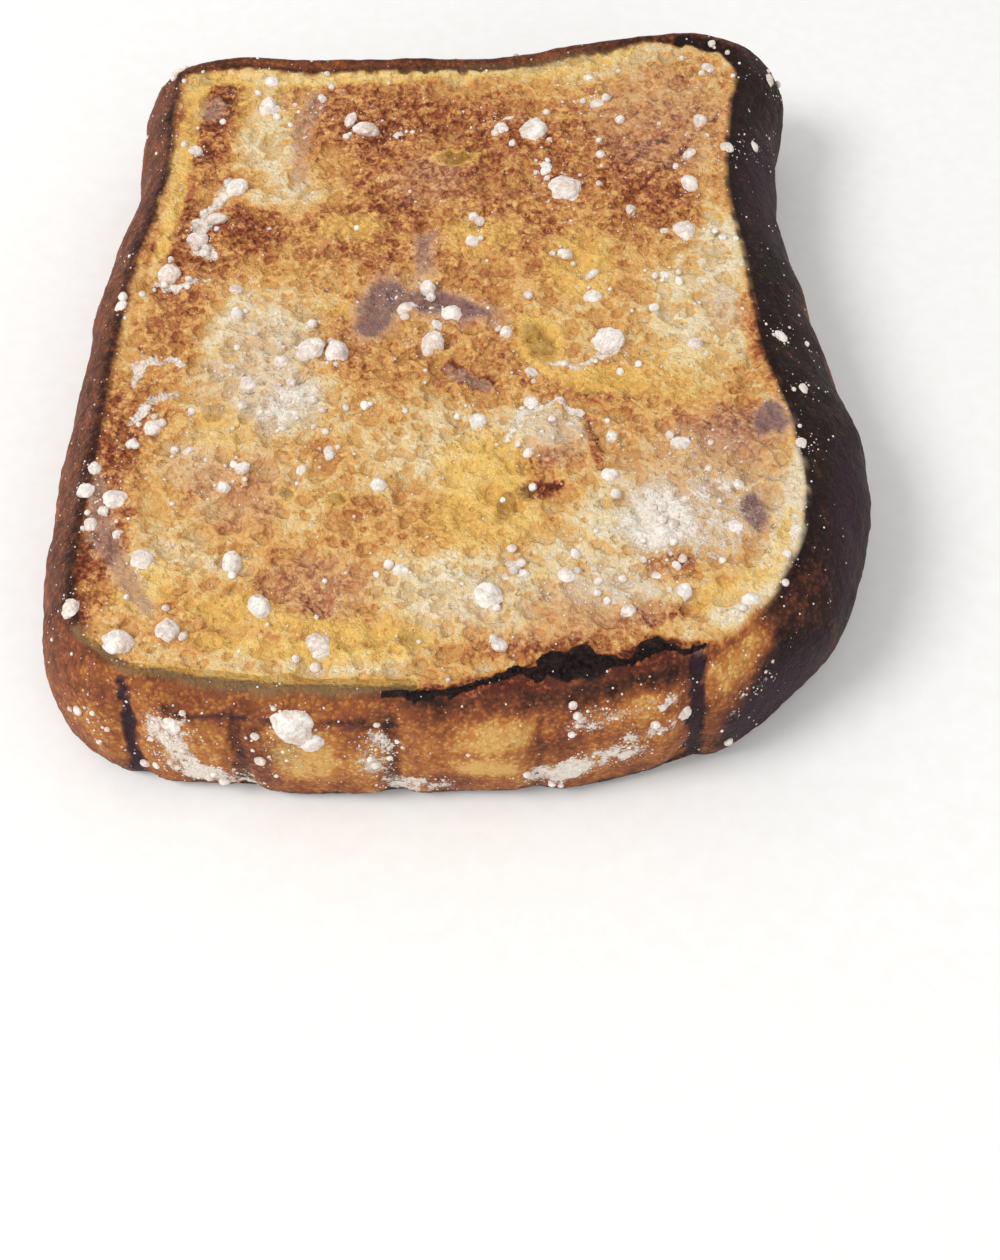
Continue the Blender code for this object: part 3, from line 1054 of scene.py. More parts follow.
@dataclass
class BreadSlice:
    """The slice of bread: one closed mesh with its crumb, crust and char in relief."""

    outline: SliceOutline = SliceOutline()
    form: BreadForm = BreadForm()
    relief: FineRelief = FineRelief()
    frying: Frying = Frying()
    baking: Baking = Baking()
    film: SugarFilm = SugarFilm()
    round_count: int = 800
    ring_count: int = 27
    face_spacing: float = 0.45
    base_spacing: float = 2.4
    edge_block: int = 4000
    shift: Row = (-0.25, -1.18)
    # Points stay this share of their distance away from the ring that is filled.
    clear: float = 0.55
    # Below this height the side counts as further from the rim, by this much a millimetre.
    side_height: float = 22.0
    side_gap: float = 0.6
    # How far up the shoulder the face's relief starts, and how wrinkles lean upwards there.
    face_start: Row = (0.5, 1.0)
    lean: Row = (0.05, 0.9)
    side_share: float = 0.9
    olive_heights: Row = (18.0, 21.0)
    points: Array = field(init=False)
    faces: Faces = field(init=False)
    fields: dict[Field, Array] = field(init=False, default_factory=dict)
    # Which points lie on the upper and lower face, which way the others face, how far up the
    # shoulder they are, the ring round the face, and how far inside it each point lies.
    is_face: Array = field(init=False)
    is_base: Array = field(init=False)
    outwards: Array = field(init=False)
    share: Array = field(init=False)
    rim: Array = field(init=False)
    edge: Array = field(init=False)

    def build(self) -> Piece:
        """Makes the slice's mesh with its attributes.

        Returns:
            The object.
        """
        self._lay_out()
        self._measure_edge()
        self._raise_relief()
        self._brown()
        placed = self.points + np.array([*self.shift, 0.0])
        piece = add_shape("fried_slice", placed, self.faces)
        for name, values in self.fields.items():
            layer = piece.data.attributes.new(name.value, "FLOAT", "POINT")
            layer.data.foreach_set("value", values.astype(np.float32))
        return piece

    def _fill(self, ring: Array, spacing: float, start: int) -> tuple[Array, Faces]:
        """Fills a ring with an even field of points and joins them with triangles.

        Args:
            ring: the ring's points from above, anticlockwise.
            spacing: the distance between the new points.
            start: the index that the first new point will have in the slice.

        Returns:
            The new points, and triangles whose negative indices count the ring's points.
        """
        low, high = ring.min(axis=0), ring.max(axis=0)
        step = spacing * math.sqrt(0.75)
        rows = []
        for number, y in enumerate(np.arange(low[1] + step, high[1], step)):
            x = np.arange(low[0] + spacing * (0.5 if number % 2 else 1.0), high[0], spacing)
            rows.append(np.column_stack([x, np.full(len(x), y)]))
        grid = np.concatenate(rows)
        centre = ring.mean(axis=0)
        angles = np.arctan2(*(ring - centre).T[::-1])
        order = np.argsort(angles)
        reach = np.linalg.norm(ring - centre, axis=1)[order]
        away = grid - centre
        limit = np.interp(np.arctan2(away[:, 1], away[:, 0]), angles[order], reach, period=2.0 * math.pi)
        grid = grid[np.linalg.norm(away, axis=1) < limit - self.clear * spacing]
        count = len(ring)
        places = [Vector(place) for place in np.concatenate([ring, grid])]
        edges = [(index, (index + 1) % count) for index in range(count)]
        made, _, faces, origins, _, _ = geometry.delaunay_2d_cdt(places, edges, [], 1, 1e-6)
        if len(made) != len(places):
            raise ValueError("the face's points did not stay apart")
        renumbered = [origin[0] - count + (start if origin[0] >= count else 0) for origin in origins]
        return grid, [tuple(renumbered[index] for index in face) for face in faces]

    def _lay_out(self) -> None:
        """Lays out the rings of the side and fills the upper and lower faces."""
        curve = self.outline.curve(self.round_count)
        outward = self.outline.outward(curve)
        profile = self.form.profile(self.ring_count)
        rings = [self.form.ring(curve, outward, row) for row in profile]
        count, side = self.round_count, np.concatenate(rings)
        self.faces = [
            (low + index, low + (index + 1) % count, low + count + (index + 1) % count, low + count + index)
            for low in range(0, len(side) - count, count) for index in range(count)
        ]
        top = len(side)
        face, face_corners = self._fill(rings[-1][:, :2], self.face_spacing, top)
        base, base_corners = self._fill(rings[0][:, :2], self.base_spacing, top + len(face))
        self.faces += [tuple(corner + (top if corner < 0 else 0) for corner in row) for row in face_corners]
        self.faces += [
            tuple(corner + (count if corner < 0 else 0) for corner in row[::-1]) for row in base_corners
        ]
        relief = self.form.face_relief(*face.T) + self.form.blister_relief(*face.T)
        self.points = np.concatenate([
            side,
            np.column_stack([face, self.form.face_height + relief]),
            np.column_stack([base, np.zeros(len(base))]),
        ])
        index = np.arange(len(self.points))
        self.is_face = (index >= top) & (index < top + len(face))
        self.is_base = (index >= top + len(face)) | (index < count)
        self.outwards = np.zeros((len(index), 2))
        self.outwards[:top] = np.tile(outward, (self.ring_count, 1))
        self.share = np.ones(len(index))
        self.share[:top] = np.repeat(profile[:, 2], count)
        self.share[self.is_base] = 0.0
        self.rim = rings[-1]

    def _measure_edge(self) -> None:
        """Measures how far inside the rim each point lies. Points of the side lie outside it."""
        ring = self.rim[::2, :2]
        face = self.points[self.is_face][:, :2]
        self.edge = np.zeros(len(self.points))
        self.edge[self.is_face] = np.concatenate([
            np.sqrt(((face[start:start + self.edge_block, None] - ring[None]) ** 2).sum(axis=2)).min(axis=1)
            for start in range(0, len(face), self.edge_block)
        ])
        side = ~self.is_face
        width = self.form.shoulder_width(self.points[side, 1], self.outwards[side])
        below = np.maximum(0.0, self.side_height - self.points[side, 2])
        self.edge[side] = -(1.0 - self.share[side]) * width - self.side_gap * below

    def _raise_relief(self) -> None:
        """Moves the points by the relief of the crumb, the crust and the char."""
        points, relief = self.points, self.relief
        on_face = np.where(self.is_face, 1.0, ease(self.share, *self.face_start))
        char = np.clip(CHARRED.cover(points), 0.0, 1.0) * ease(points[:, 2], *relief.char_heights)
        depth, pore = np.zeros(len(points)), np.zeros(len(points))
        depth[self.is_face], pore[self.is_face] = relief.pores(points[self.is_face], self.edge[self.is_face])
        self.fields[Field.PORE] = pore
        self.fields[Field.CHAR] = char
        crackle = 1.0 - 2.0 * np.abs(relief.crackle.at(points))
        rise = relief.crumb_rise(points * FLATTENED) - depth * (1.0 - char)
        rise += relief.lip_rise(points, self.edge)
        rise = on_face * rise + char * (relief.crackle_height * crackle - relief.crackle_sink)

        wrinkles = (1.0 - on_face) * relief.wrinkles(points, np.maximum(0.0, -self.outwards[:, 1]))
        lean = ease(self.share, *self.lean)
        direction = np.column_stack([self.outwards * (1.0 - lean)[:, None], lean])
        direction /= np.maximum(np.linalg.norm(direction, axis=1, keepdims=True), 1e-6)
        direction[self.is_base] = 0.0
        self.points = points + direction * wrinkles[:, None]
        self.points[:, 2] += np.where(self.is_base, 0.0, rise)

    def _brown(self) -> None:
        """Works out the browning, the crust's tone and the sugar film at each point."""
        points, height = self.points, self.points[:, 2]
        flat = points * FLATTENED
        scorch = self.frying.scorch(flat, height)
        raised = np.where(self.is_face, height - self.form.face_height, 0.0)
        upper = self.frying.upper(flat, self.edge, raised) + scorch
        baking = self.baking
        right, near = baking.right.share(self.outwards), baking.near.share(self.outwards)
        drop = baking.reach_drop_near * ease(-self.outwards[:, 1], *baking.reach_drop_start)
        beyond = self.edge - (CRUST_REACH.cover(flat) - drop)
        softness = baking.reach_softness
        crust = 1.0 - ease(beyond + baking.reach_wander.at(points), -softness, softness)
        # The plum areas: painted sheen on the right crust and painted shade in the near side's creases.
        plum_sheen_and_shade = right * SIDE_PLUM_SHEEN.cover(points, FROM_SIDE) + near * NEAR_PLUM_SHEEN_AND_SHADE.cover(points, FROM_NEAR)
        film = self.film.cover(points, self.is_face, near, self.edge)
        found = {
            Field.BROWNING: np.where(self.is_base, self.frying.lower(flat), upper),
            Field.MAUVE: np.where(self.share < self.side_share, plum_sheen_and_shade, MAUVE.cover(flat)),
            # Butter-yellow and olive areas, and painted shade along the near rim.
            Field.OLIVE_AND_RIM_SHADE: np.clip(OLIVE_AND_RIM_SHADE.cover(flat), 0.0, 1.0) * ease(height, *self.olive_heights),
            Field.CRUST: np.where(self.is_base, 0.0, crust),
            Field.CRUST_TONE: baking.tone(points, self.outwards, self.is_face, beyond, scorch),
            Field.SUGAR: np.where(self.is_base, 0.0, film),
        }
        self.fields.update({name: np.clip(values, 0.0, 1.0) for name, values in found.items()})


@dataclass(frozen=True)
class Lump:
    """The shape of a lump of sugar: how flat and how uneven it is."""

    flatness: float
    lumpiness: float
    broad: Unevenness = Unevenness(0.9, 131, 2)
    fine: Unevenness = Unevenness(0.34, 137, 3, 0.7)
    fine_share: float = 0.50
    seed_steps: Row = (3.7, 1.9, 5.3)

    def shape(self, ball: Array, radius: float, seed: float) -> Array:
        """Makes a unit ball uneven and flat.

        Args:
            ball: the ball's points.
            radius: the lump's radius.
            seed: what tells this lump from the others.

        Returns:
            The lump's points.
        """
        places = ball + np.array([seed * step for step in self.seed_steps])
        swell = 1.0 + self.lumpiness * self.broad.at(places)
        swell += self.fine_share * self.lumpiness * self.fine.at(places)
        return ball * swell[:, None] * radius * np.array([1.0, 1.0, self.flatness])


@dataclass(frozen=True)
class LooseSugar:
    """One kind of loose sugar: its name, count, radii, how finely it is divided, and its seed."""

    name: str
    count: int
    smallest: float
    largest: float
    level: int
    seed: int


def ball_mesh(level: int) -> tuple[Array, Array]:
    """Makes a unit ball.

    Args:
        level: how many times its triangles are divided.

    Returns:
        Its points and its triangles.
    """
    ball = bmesh.new()
    bmesh.ops.create_icosphere(ball, subdivisions=level, radius=1.0)
    points = np.array([corner.co[:] for corner in ball.verts])
    faces = np.array([[corner.index for corner in face.verts] for face in ball.faces])
    ball.free()
    return points, faces


@dataclass
class SugarScatter:
    """Icing sugar on the slice: fused clumps, loose grains and fine dust."""

    # The slice's surface in metres, and how far the slice was moved to its own middle.
    surface: BVHTree
    shift: Row
    # The large clumps of the solid: X, Y, radius.
    large: tuple[Row, ...] = (
        (15, 26, 2.6), (20, -4, 2.4), (-22.5, -6, 2.3), (-18, -6.5, 2.2), (10.5, 39, 2.2),
        (-16, 39.5, 2.1), (-18, -54.5, 1.9), (-37.5, -52.5, 1.9), (-44, -54, 1.9), (3.5, -47, 1.8),
        (-26, -48.5, 1.8), (33, 18, 1.8), (-5, -4.5, 1.8), (-9, 3, 1.7), (-2, 1.5, 1.6),
        (-44, 8.5, 1.6), (-46.5, -32, 1.6), (-42, -41.5, 1.5), (-30, -42, 1.6), (-35.5, 27, 1.6),
        (-38, 20.5, 1.6), (-40.5, 16, 1.6), (34.5, 28, 1.5), (-32.5, 44.5, 1.5),
    )
    # Clumps on the near side: X, height, radius.
    near: tuple[Row, ...] = ((-21.5, 20.5, 2.8), (-19, 17.6, 1.5), (-37, 19, 1.2), (29, 17, 1.2))
    # The middle-sized clumps, a little smaller than the ones in the solid: X, Y, radius.
    middling: tuple[Row, ...] = (
        (37, 41, 1.3), (-19, 41.5, 1.25), (-26, -8.5, 1.2), (-31, 43.5, 1), (2, -18.5, 1.2),
        (6, -2.5, 1.05), (18.5, 4.5, 1.1), (-11.5, -29.5, 1.15), (37.5, -47.5, 1.2), (5, -54, 1.15),
        (34.5, 34.5, 1.2), (-51, -30.5, 1.2), (-50.5, -49, 1.2), (-49.5, -36, 1.1), (6.5, 42.5, 1.1),
        (33, -5, 1.1), (-4, -0.5, 0.9), (20.5, 45.5, 0.9), (8, -43.5, 0.9), (37.5, -29.5, 0.9),
        (26.5, -37, 0.9), (46.5, -22.5, 0.95), (-46, -22, 0.9), (-38, -23.5, 0.9), (-14, -16, 0.8),
        (12, 30, 0.8), (25, 22, 0.8), (-22, -27, 0.8), (-8, -43, 0.9), (15, -40.5, 0.8),
        (29.5, 9, 0.8), (1, 20, 0.8),
    )
    # The small clumps of the solid: their seed, count, ranges and least distance.
    clump_seed: int = 11
    small_count: int = 40
    small_x: Row = (-52.0, 50.0)
    small_y: Row = (-57.0, 56.0)
    small_radius: Row = (0.9, 1.25)
    small_gap: float = 1.5
    clump: Lump = Lump(flatness=0.62, lumpiness=0.24)
    # Clumps are a little wider than in the solid, each stretched by its turn, and sunk in.
    widening: float = 1.04
    stretching: float = 0.2
    large_turn: float = 1.7
    middling_turn: float = 2.3
    sink: float = 0.20
    fine_from: float = 1.7
    fine_level: int = 5
    coarse_level: int = 4

    grains: LooseSugar = LooseSugar("sugar_grains", 520, 0.24, 0.8, level=2, seed=29)
    dust: LooseSugar = LooseSugar("sugar_dust", 7600, 0.06, 0.2, level=1, seed=30)
    grain: Lump = Lump(flatness=0.7, lumpiness=0.22)
    grain_kinds: int = 20
    grain_rarity: float = 2.4
    grain_lift: float = 0.25
    grain_lowest: float = 3.0
    # How much of the loose sugar lies round the clumps, on the face and on the near side.
    round_clumps: float = 0.28
    on_face: float = 0.55
    on_near: float = 0.17
    clump_halo: Row = (0.3, 2.0)
    # Where rays towards the face and the near side start, as their lowest and highest corners.
    above: tuple[Row, Row] = ((-57.0, -65.0, 60.0), (52.0, 63.0, 60.0))
    beside: tuple[Row, Row] = ((-53.0, -90.0, 3.0), (46.0, -90.0, 24.0))
    tries_each: int = 9
    bare_chance: float = 0.05
    crowding: float = 1.5
    taken: list[Row] = field(init=False, default_factory=list)

    def _seat(self, start: Row, ray: Row) -> tuple[Vector, Vector] | None:
        """Returns where a ray meets the slice, in millimetres, and the surface's direction there."""
        place, normal, _, _ = self.surface.ray_cast(Vector(start) * MM, Vector(ray))
        return None if place is None else (place / MM, normal)

    def _over(self, x: float, y: float) -> Row:
        """Returns the place above a point of the slice where a ray starts."""
        return x + self.shift[0], y + self.shift[1], self.above[0][2]

    def _placed(self, shape: Array, place: Vector, normal: Vector, turn: float) -> Array:
        """Returns a shape's points turned round the surface's direction and set at a place."""
        turned = normal.to_track_quat("Z", "Y").to_matrix().to_4x4() @ Matrix.Rotation(turn, 4, "Z")
        return shape @ np.array(turned.to_3x3()).T + np.array(place)

    def _join(self, name: str, blobs: list[tuple[Array, Array]]) -> Piece:
        """Joins many small closed shapes into one object.

        Args:
            name: the object's name.
            blobs: the points and triangles of each shape.

        Returns:
            The object.
        """
        starts = np.cumsum([0] + [len(points) for points, _ in blobs[:-1]])
        points = np.concatenate([points for points, _ in blobs])
        faces = np.concatenate([faces + start for (_, faces), start in zip(blobs, starts)])
        return add_shape(name, points, faces.tolist())

    def _small_clumps(self) -> list[Row]:
        """Draws the small clumps, apart from the large ones and from each other.

        Returns:
            Their places along X and Y, and their radii.
        """
        draw = random.Random(self.clump_seed)
        taken = list(self.large)
        while len(taken) < len(self.large) + self.small_count:
            place = draw.uniform(*self.small_x), draw.uniform(*self.small_y)
            radius = draw.uniform(*self.small_radius)
            if all(math.dist(place, other[:2]) >= other[2] + radius + self.small_gap for other in taken):
                taken.append((*place, radius))
        return taken[len(self.large):]

    def build_clumps(self) -> Piece:
        """Makes the clumps of the solid and the middle-sized ones.

        Returns:
            The clumps as one object.
        """
        small = self._small_clumps()
        self.taken = [*self.large, *small, *self.middling]
        clumps = [
            (self._over(x, y), DOWN, radius, self.large_turn * index)
            for index, (x, y, radius) in enumerate(self.large)
        ]
        clumps += [
            ((x + self.shift[0], self.beside[0][1], height), AHEAD, radius, float(index))
            for index, (x, height, radius) in enumerate(self.near)
        ]
        clumps += [(self._over(x, y), DOWN, radius, x + y) for x, y, radius in small]
        clumps += [
            (self._over(x, y), DOWN, radius, self.middling_turn * index)
            for index, (x, y, radius) in enumerate(self.middling)
        ]
        coarse, fine = ball_mesh(self.coarse_level), ball_mesh(self.fine_level)
        blobs = []
        for number, (start, ray, radius, turn) in enumerate(clumps, 1):
            seat = self._seat(start, ray)
            if seat is None:
                continue
            place, normal = seat
            ball, faces = fine if radius > self.fine_from else coarse
            shape = self.clump.shape(ball, radius * self.widening, number)
            shape[:, 0] *= 1.0 + self.stretching * math.sin(turn)
            middle = place - normal * radius * self.sink
            blobs.append((self._placed(shape, middle, normal, turn), faces))
        return self._join("sugar_clumps", blobs)

    def _thickest(self, draw: random.Random, count: int, layer: PatchLayer, corners: tuple[Row, Row],
                  plane: tuple[int, int]) -> list[Row]:
        """Draws places that crowd where a layer of sugar film lies.

        Args:
            draw: the seeded draw.
            count: how many places are wanted.
            layer: the sugar film.
            corners: the lowest and highest corner of the region.
            plane: the two axes that the layer lies along.

        Returns:
            The places.
        """
        tries = np.array([
            [draw.uniform(low, high) for low, high in zip(*corners)] for _ in range(self.tries_each * count)
        ])
        chance = self.bare_chance + layer.cover(tries, plane) ** self.crowding
        return [tuple(place) for place, share in zip(tries, chance) if draw.random() < share][:count]

    def _aims(self, draw: random.Random, count: int) -> list[tuple[Row, Row]]:
        """Draws rays towards the slice: round the clumps, down on its face and at its near side.

        Args:
            draw: the seeded draw.
            count: about how many rays are wanted.

        Returns:
            Where each ray starts, and its direction.
        """
        aims = []
        for _ in range(round(count * self.round_clumps)):
            x, y, radius = draw.choice(self.taken)
            angle = draw.uniform(0.0, 2.0 * math.pi)
            reach = radius + abs(draw.gauss(*self.clump_halo))
            start = (x + reach * math.cos(angle), y + reach * math.sin(angle), self.above[0][2])
            aims.append((start, DOWN))
        for share, layer, corners, plane, ray in (
            (self.on_face, SUGARY, self.above, FROM_ABOVE, DOWN),
            (self.on_near, NEAR_SUGAR, self.beside, FROM_NEAR, AHEAD),
        ):
            places = self._thickest(draw, round(count * share), layer, corners, plane)
            aims += [(place, ray) for place in places]
        return aims

    def build_loose(self, kind: LooseSugar) -> Piece:
        """Scatters one kind of loose sugar over the slice. The clumps are made before it.

        Args:
            kind: the kind of loose sugar.

        Returns:
            The grains as one object.
        """
        draw = random.Random(kind.seed)
        ball, faces = ball_mesh(kind.level)
        shapes = [self.grain.shape(ball, 1.0, number + 0.5) for number in range(self.grain_kinds)]
        blobs = []
        for (x, y, z), ray in self._aims(draw, kind.count):
            radius = kind.smallest + (kind.largest - kind.smallest) * draw.random() ** self.grain_rarity
            seat = self._seat((x + self.shift[0], y + self.shift[1], z), ray)
            if seat is None or seat[0].z < self.grain_lowest:
                continue
            place, normal = seat
            shape = draw.choice(shapes) * radius
            turn = draw.uniform(0.0, 2.0 * math.pi)
            middle = place + normal * radius * self.grain_lift
            blobs.append((self._placed(shape, middle, normal, turn), faces))
        return self._join(kind.name, blobs)


def shade(colour: Row) -> Row:
    """Turns a display colour into linear light.

    Args:
        colour: red, green and blue, each up to 255.

    Returns:
        Red, green, blue and 1.
    """
    parts = [value / 255.0 for value in colour]
    linear = [part / 12.92 if part <= 0.04045 else ((part + 0.055) / 1.055) ** 2.4 for part in parts]
    return (*linear, 1.0)


class NodePen:
    """Adds nodes to one node tree and links them."""

    def __init__(self, tree: Tree) -> None:
        """Starts with the tree that the nodes go into."""
        self.tree = tree

    def add(self, kind: str, **values: object) -> bpy.types.Node:
        """Adds a node and sets its own properties.

        Args:
            kind: the node's type name.
            **values: the node's properties by name.

        Returns:
            The new node.
        """
        node = self.tree.nodes.new(kind)
        for name, value in values.items():
            setattr(node, name, value)
        return node

    def put(self, socket: Socket, value: object) -> None:
        """Links a socket to another one, or sets its value.

        Args:
            socket: the input that is filled.
            value: an output, a value, or nothing to leave the input as it is.
        """
        if isinstance(value, Socket):
            self.tree.links.new(value, socket)
        elif value is not None:
            socket.default_value = value

    def fill(self, node: bpy.types.Node, **values: object) -> bpy.types.Node:
        """Fills a node's inputs.

        Args:
            node: the node.
            **values: what goes into each input, by its name with _ for each space.

        Returns:
            The same node.
        """
        for name, value in values.items():
            self.put(node.inputs[name.replace("_", " ")], value)
        return node

    def math(self, operation: str, *values: object, clamp: bool = False) -> Socket:
        """Adds a sum.

        Args:
            operation: what is done with the values.
            *values: two or three values.
            clamp: whether the result is kept between 0 and 1.

        Returns:
            The result.
        """
        node = self.add("ShaderNodeMath", operation=operation, use_clamp=clamp)
        for socket, value in zip(node.inputs, values):
            self.put(socket, value)
        return node.outputs[0]

    def times(self, first: object, second: object) -> Socket:
        """Returns two values multiplied."""
        return self.math("MULTIPLY", first, second)

    def total(self, start: object, *shares: tuple[Socket, object], clamp: bool = False) -> Socket:
        """Adds several values to a first one, each by its own share.

        Args:
            start: the first value.
            *shares: each further value with its share.
            clamp: whether the result is kept between 0 and 1.

        Returns:
            The sum.
        """
        for number, (value, share) in enumerate(shares, 1):
            last = number == len(shares)
            start = self.math("MULTIPLY_ADD", value, share, start, clamp=clamp and last)
        return start

    def spread(self, value: object, *limits: float) -> Socket:
        """Eases a value from one range to another.

        Args:
            value: the value.
            *limits: where the range starts and ends, and what these become if it isn't 0 and 1.

        Returns:
            The eased value.
        """
        node = self.add("ShaderNodeMapRange", interpolation_type="SMOOTHSTEP", clamp=True)
        names = ("From_Min", "From_Max", "To_Min", "To_Max")
        return self.fill(node, Value=value, **dict(zip(names, limits))).outputs["Result"]

    def blend(self, share: object, first: object, second: object) -> Socket:
        """Mixes two colours.

        Args:
            share: how much of the second colour shows.
            first: the first colour.
            second: the second colour.

        Returns:
            The mixed colour.
        """
        node = self.add("ShaderNodeMix", data_type="RGBA", clamp_factor=True)
        self.put(node.inputs["Factor"], share)
        for name, value in (("A", first), ("B", second)):
            self.put(next(item for item in node.inputs if item.name == name and item.type == "RGBA"), value)
        return next(item for item in node.outputs if item.type == "RGBA")

    def place(self) -> Socket:
        """Returns the object's own coordinates, in metres."""
        return self.add("ShaderNodeTexCoord").outputs["Object"]

    def stretched(self, vector: Socket, scale: Row) -> Socket:
        """Returns a vector scaled along each axis."""
        node = self.add("ShaderNodeMapping", vector_type="POINT")
        return self.fill(node, Vector=vector, Scale=scale).outputs["Vector"]

    def noise(self, vector: Socket, size: float, detail: float = 2.0, roughness: float = 0.5) -> Socket:
        """Adds noise.

        Args:
            vector: the place.
            size: about how wide its features are, in millimetres.
            detail: how many finer layers it has.
            roughness: how strong these are.

        Returns:
            The noise, from 0 to 1.
        """
        node = self.add("ShaderNodeTexNoise")
        self.fill(node, Vector=vector, Scale=1.0 / (size * MM), Detail=detail, Roughness=roughness)
        return node.outputs["Fac"]

    def cells(self, vector: Socket, size: float) -> Socket:
        """Returns the distance to the middles of cells of a size in millimetres."""
        node = self.add("ShaderNodeTexVoronoi", feature="F1")
        return self.fill(node, Vector=vector, Scale=1.0 / (size * MM)).outputs["Distance"]

    def known(self, name: Field) -> Socket:
        """Returns one of the slice's own attributes."""
        node = self.add("ShaderNodeAttribute", attribute_type="GEOMETRY", attribute_name=name.value)
        return node.outputs["Fac"]

    def ramp(self, value: object, stops: Stops) -> Socket:
        """Turns a value into a colour.

        Args:
            value: the value, from 0 to 1.
            stops: places along the ramp with their colours.

        Returns:
            The colour.
        """
        node = self.fill(self.add("ShaderNodeValToRGB"), Fac=value)
        points = node.color_ramp.elements
        while len(points) < len(stops):
            points.new(0.5)
        for point, (place, colour) in zip(points, stops):
            point.position = place
            point.color = shade(colour)
        return node.outputs["Color"]

    def relief(self, height: object, strength: float, depth: float) -> Socket:
        """Returns a normal raised by a height, with its full depth in millimetres."""
        node = self.fill(self.add("ShaderNodeBump"), Strength=strength, Distance=depth * MM, Height=height)
        return node.outputs["Normal"]

    def use(self, group: Tree, **values: object) -> Outputs:
        """Places a node group.

        Args:
            group: the group.
            **values: what goes into each of its inputs, by name.

        Returns:
            The group's outputs by name.
        """
        node = self.add("ShaderNodeGroup")
        node.node_tree = group
        return {socket.name: socket for socket in self.fill(node, **values).outputs}


def new_group(name: str, inputs: dict[str, float], outputs: tuple[str, ...]) -> tuple[NodePen, dict, dict]:
    """Starts a shader node group with named value sockets.

    Args:
        name: the group's name.
        inputs: each input's name and default value. The input Vector is added to them.
        outputs: the names of the outputs.

    Returns:
        A pen for the group, its inputs and its outputs by name.
    """
    tree = bpy.data.node_groups.new(name, "ShaderNodeTree")
    tree.interface.new_socket("Vector", in_out="INPUT", socket_type="NodeSocketVector")
    for label, value in inputs.items():
        socket = tree.interface.new_socket(label, in_out="INPUT", socket_type="NodeSocketFloat")
        socket.default_value = value
    for label in outputs:
        tree.interface.new_socket(label, in_out="OUTPUT", socket_type="NodeSocketFloat")
    pen = NodePen(tree)
    start, end = pen.add("NodeGroupInput"), pen.add("NodeGroupOutput")
    return pen, {item.name: item for item in start.outputs}, {item.name: item for item in end.inputs}


def new_material(name: str) -> tuple[bpy.types.Material, NodePen, bpy.types.Node]:
    """Starts a material.

    Args:
        name: the material's name.

    Returns:
        The material, a pen for its nodes, and its shader.
    """
    material = bpy.data.materials.new(name)
    material.use_nodes = True
    return material, NodePen(material.node_tree), material.node_tree.nodes["Principled BSDF"]


@dataclass(frozen=True)
class FinePowder:
    """Fine powder. An amount becomes specks and their height."""

    # Each noise: the width of its features in millimetres, its layers and their strength.
    coarse: Row = (1.5, 4.0, 0.65)
    fine: Row = (0.32, 3.0, 0.7)
    coarse_share: float = 0.6
    fine_share: float = 0.4
    # The limit that the noise has to pass, from no powder to full powder.
    limit: Row = (0.0, 1.0, 0.72, 0.32)
    softness: Row = (-0.03, 0.1)
    first_specks: Row = (0.02, 0.2)

    def group(self) -> Tree:
        """Builds the node group.

        Returns:
            A group that gives the powder's mask and height.
        """
        pen, given, result = new_group("fine_powder", {"Amount": 0.5}, ("Mask", "Height"))
        coarse, fine = (pen.noise(given["Vector"], *size) for size in (self.coarse, self.fine))
        mixed = pen.math("ADD", pen.times(coarse, self.coarse_share), pen.times(fine, self.fine_share))
        over = pen.math("SUBTRACT", mixed, pen.spread(given["Amount"], *self.limit))
        mask = pen.spread(over, *self.softness)
        pen.put(result["Mask"], pen.times(mask, pen.spread(given["Amount"], *self.first_specks)))
        pen.put(result["Height"], pen.times(mask, fine))
        return pen.tree


@dataclass(frozen=True)
class UnevenColouring:
    """Uneven colouring at two sizes, around 0."""

    coarse: Row = (3.0, 5.0, 0.62)
    fine: Row = (0.7, 4.0, 0.6)

    def group(self) -> Tree:
        """Builds the node group.

        Returns:
            A group that gives a coarse and a fine mottle.
        """
        pen, given, result = new_group("uneven_colouring", {}, ("Coarse", "Fine"))
        for name, size in (("Coarse", self.coarse), ("Fine", self.fine)):
            pen.put(result[name], pen.math("SUBTRACT", pen.noise(given["Vector"], *size), 0.5))
        return pen.tree


@dataclass(frozen=True)
class FineCrumb:
    """The fine build of baked dough: walls between small cells, and pinholes."""

    wobble: Row = (0.55, 3.0, 0.6)
    wide: Row = (1.8, 2.0)
    cell_size: float = 1.25
    cell_wobble: float = 0.75
    cell_wide: float = 0.50
    walls: Row = (0.22, 0.66)
    hole_stretch: Row = (0.8, 1.1, 1.0)
    hole_size: float = 1.0
    hole_wobble: float = 0.45
    holes: Row = (0.1, 0.32, 1.0, 0.0)
    hole_areas: Row = (-0.08, 0.12)

    def group(self) -> Tree:
        """Builds the node group.

        Returns:
            A group that gives the walls' and the holes' masks.
        """
        pen, given, result = new_group("fine_crumb", {"Size": 1.0}, ("Walls", "Holes"))
        scaled = pen.add("ShaderNodeVectorMath", operation="SCALE")
        pen.put(scaled.inputs[0], given["Vector"])
        pen.put(scaled.inputs["Scale"], pen.math("DIVIDE", 1.0, given["Size"]))
        place = scaled.outputs[0]
        wobble, wide = (
            pen.math("SUBTRACT", pen.noise(place, *size), 0.5) for size in (self.wobble, self.wide)
        )
        cell = pen.total(pen.cells(place, self.cell_size), (wobble, self.cell_wobble), (wide, self.cell_wide))
        pen.put(result["Walls"], pen.spread(cell, *self.walls))
        hole = pen.cells(pen.stretched(place, self.hole_stretch), self.hole_size)
        hole = pen.spread(pen.total(hole, (wobble, self.hole_wobble)), *self.holes)
        pen.put(result["Holes"], pen.times(hole, pen.spread(wide, *self.hole_areas)))
        return pen.tree


@dataclass(frozen=True)
class Effects:
    """The effects that more than one material uses, each as a node group."""

    powder: Tree
    uneven: Tree
    crumb: Tree


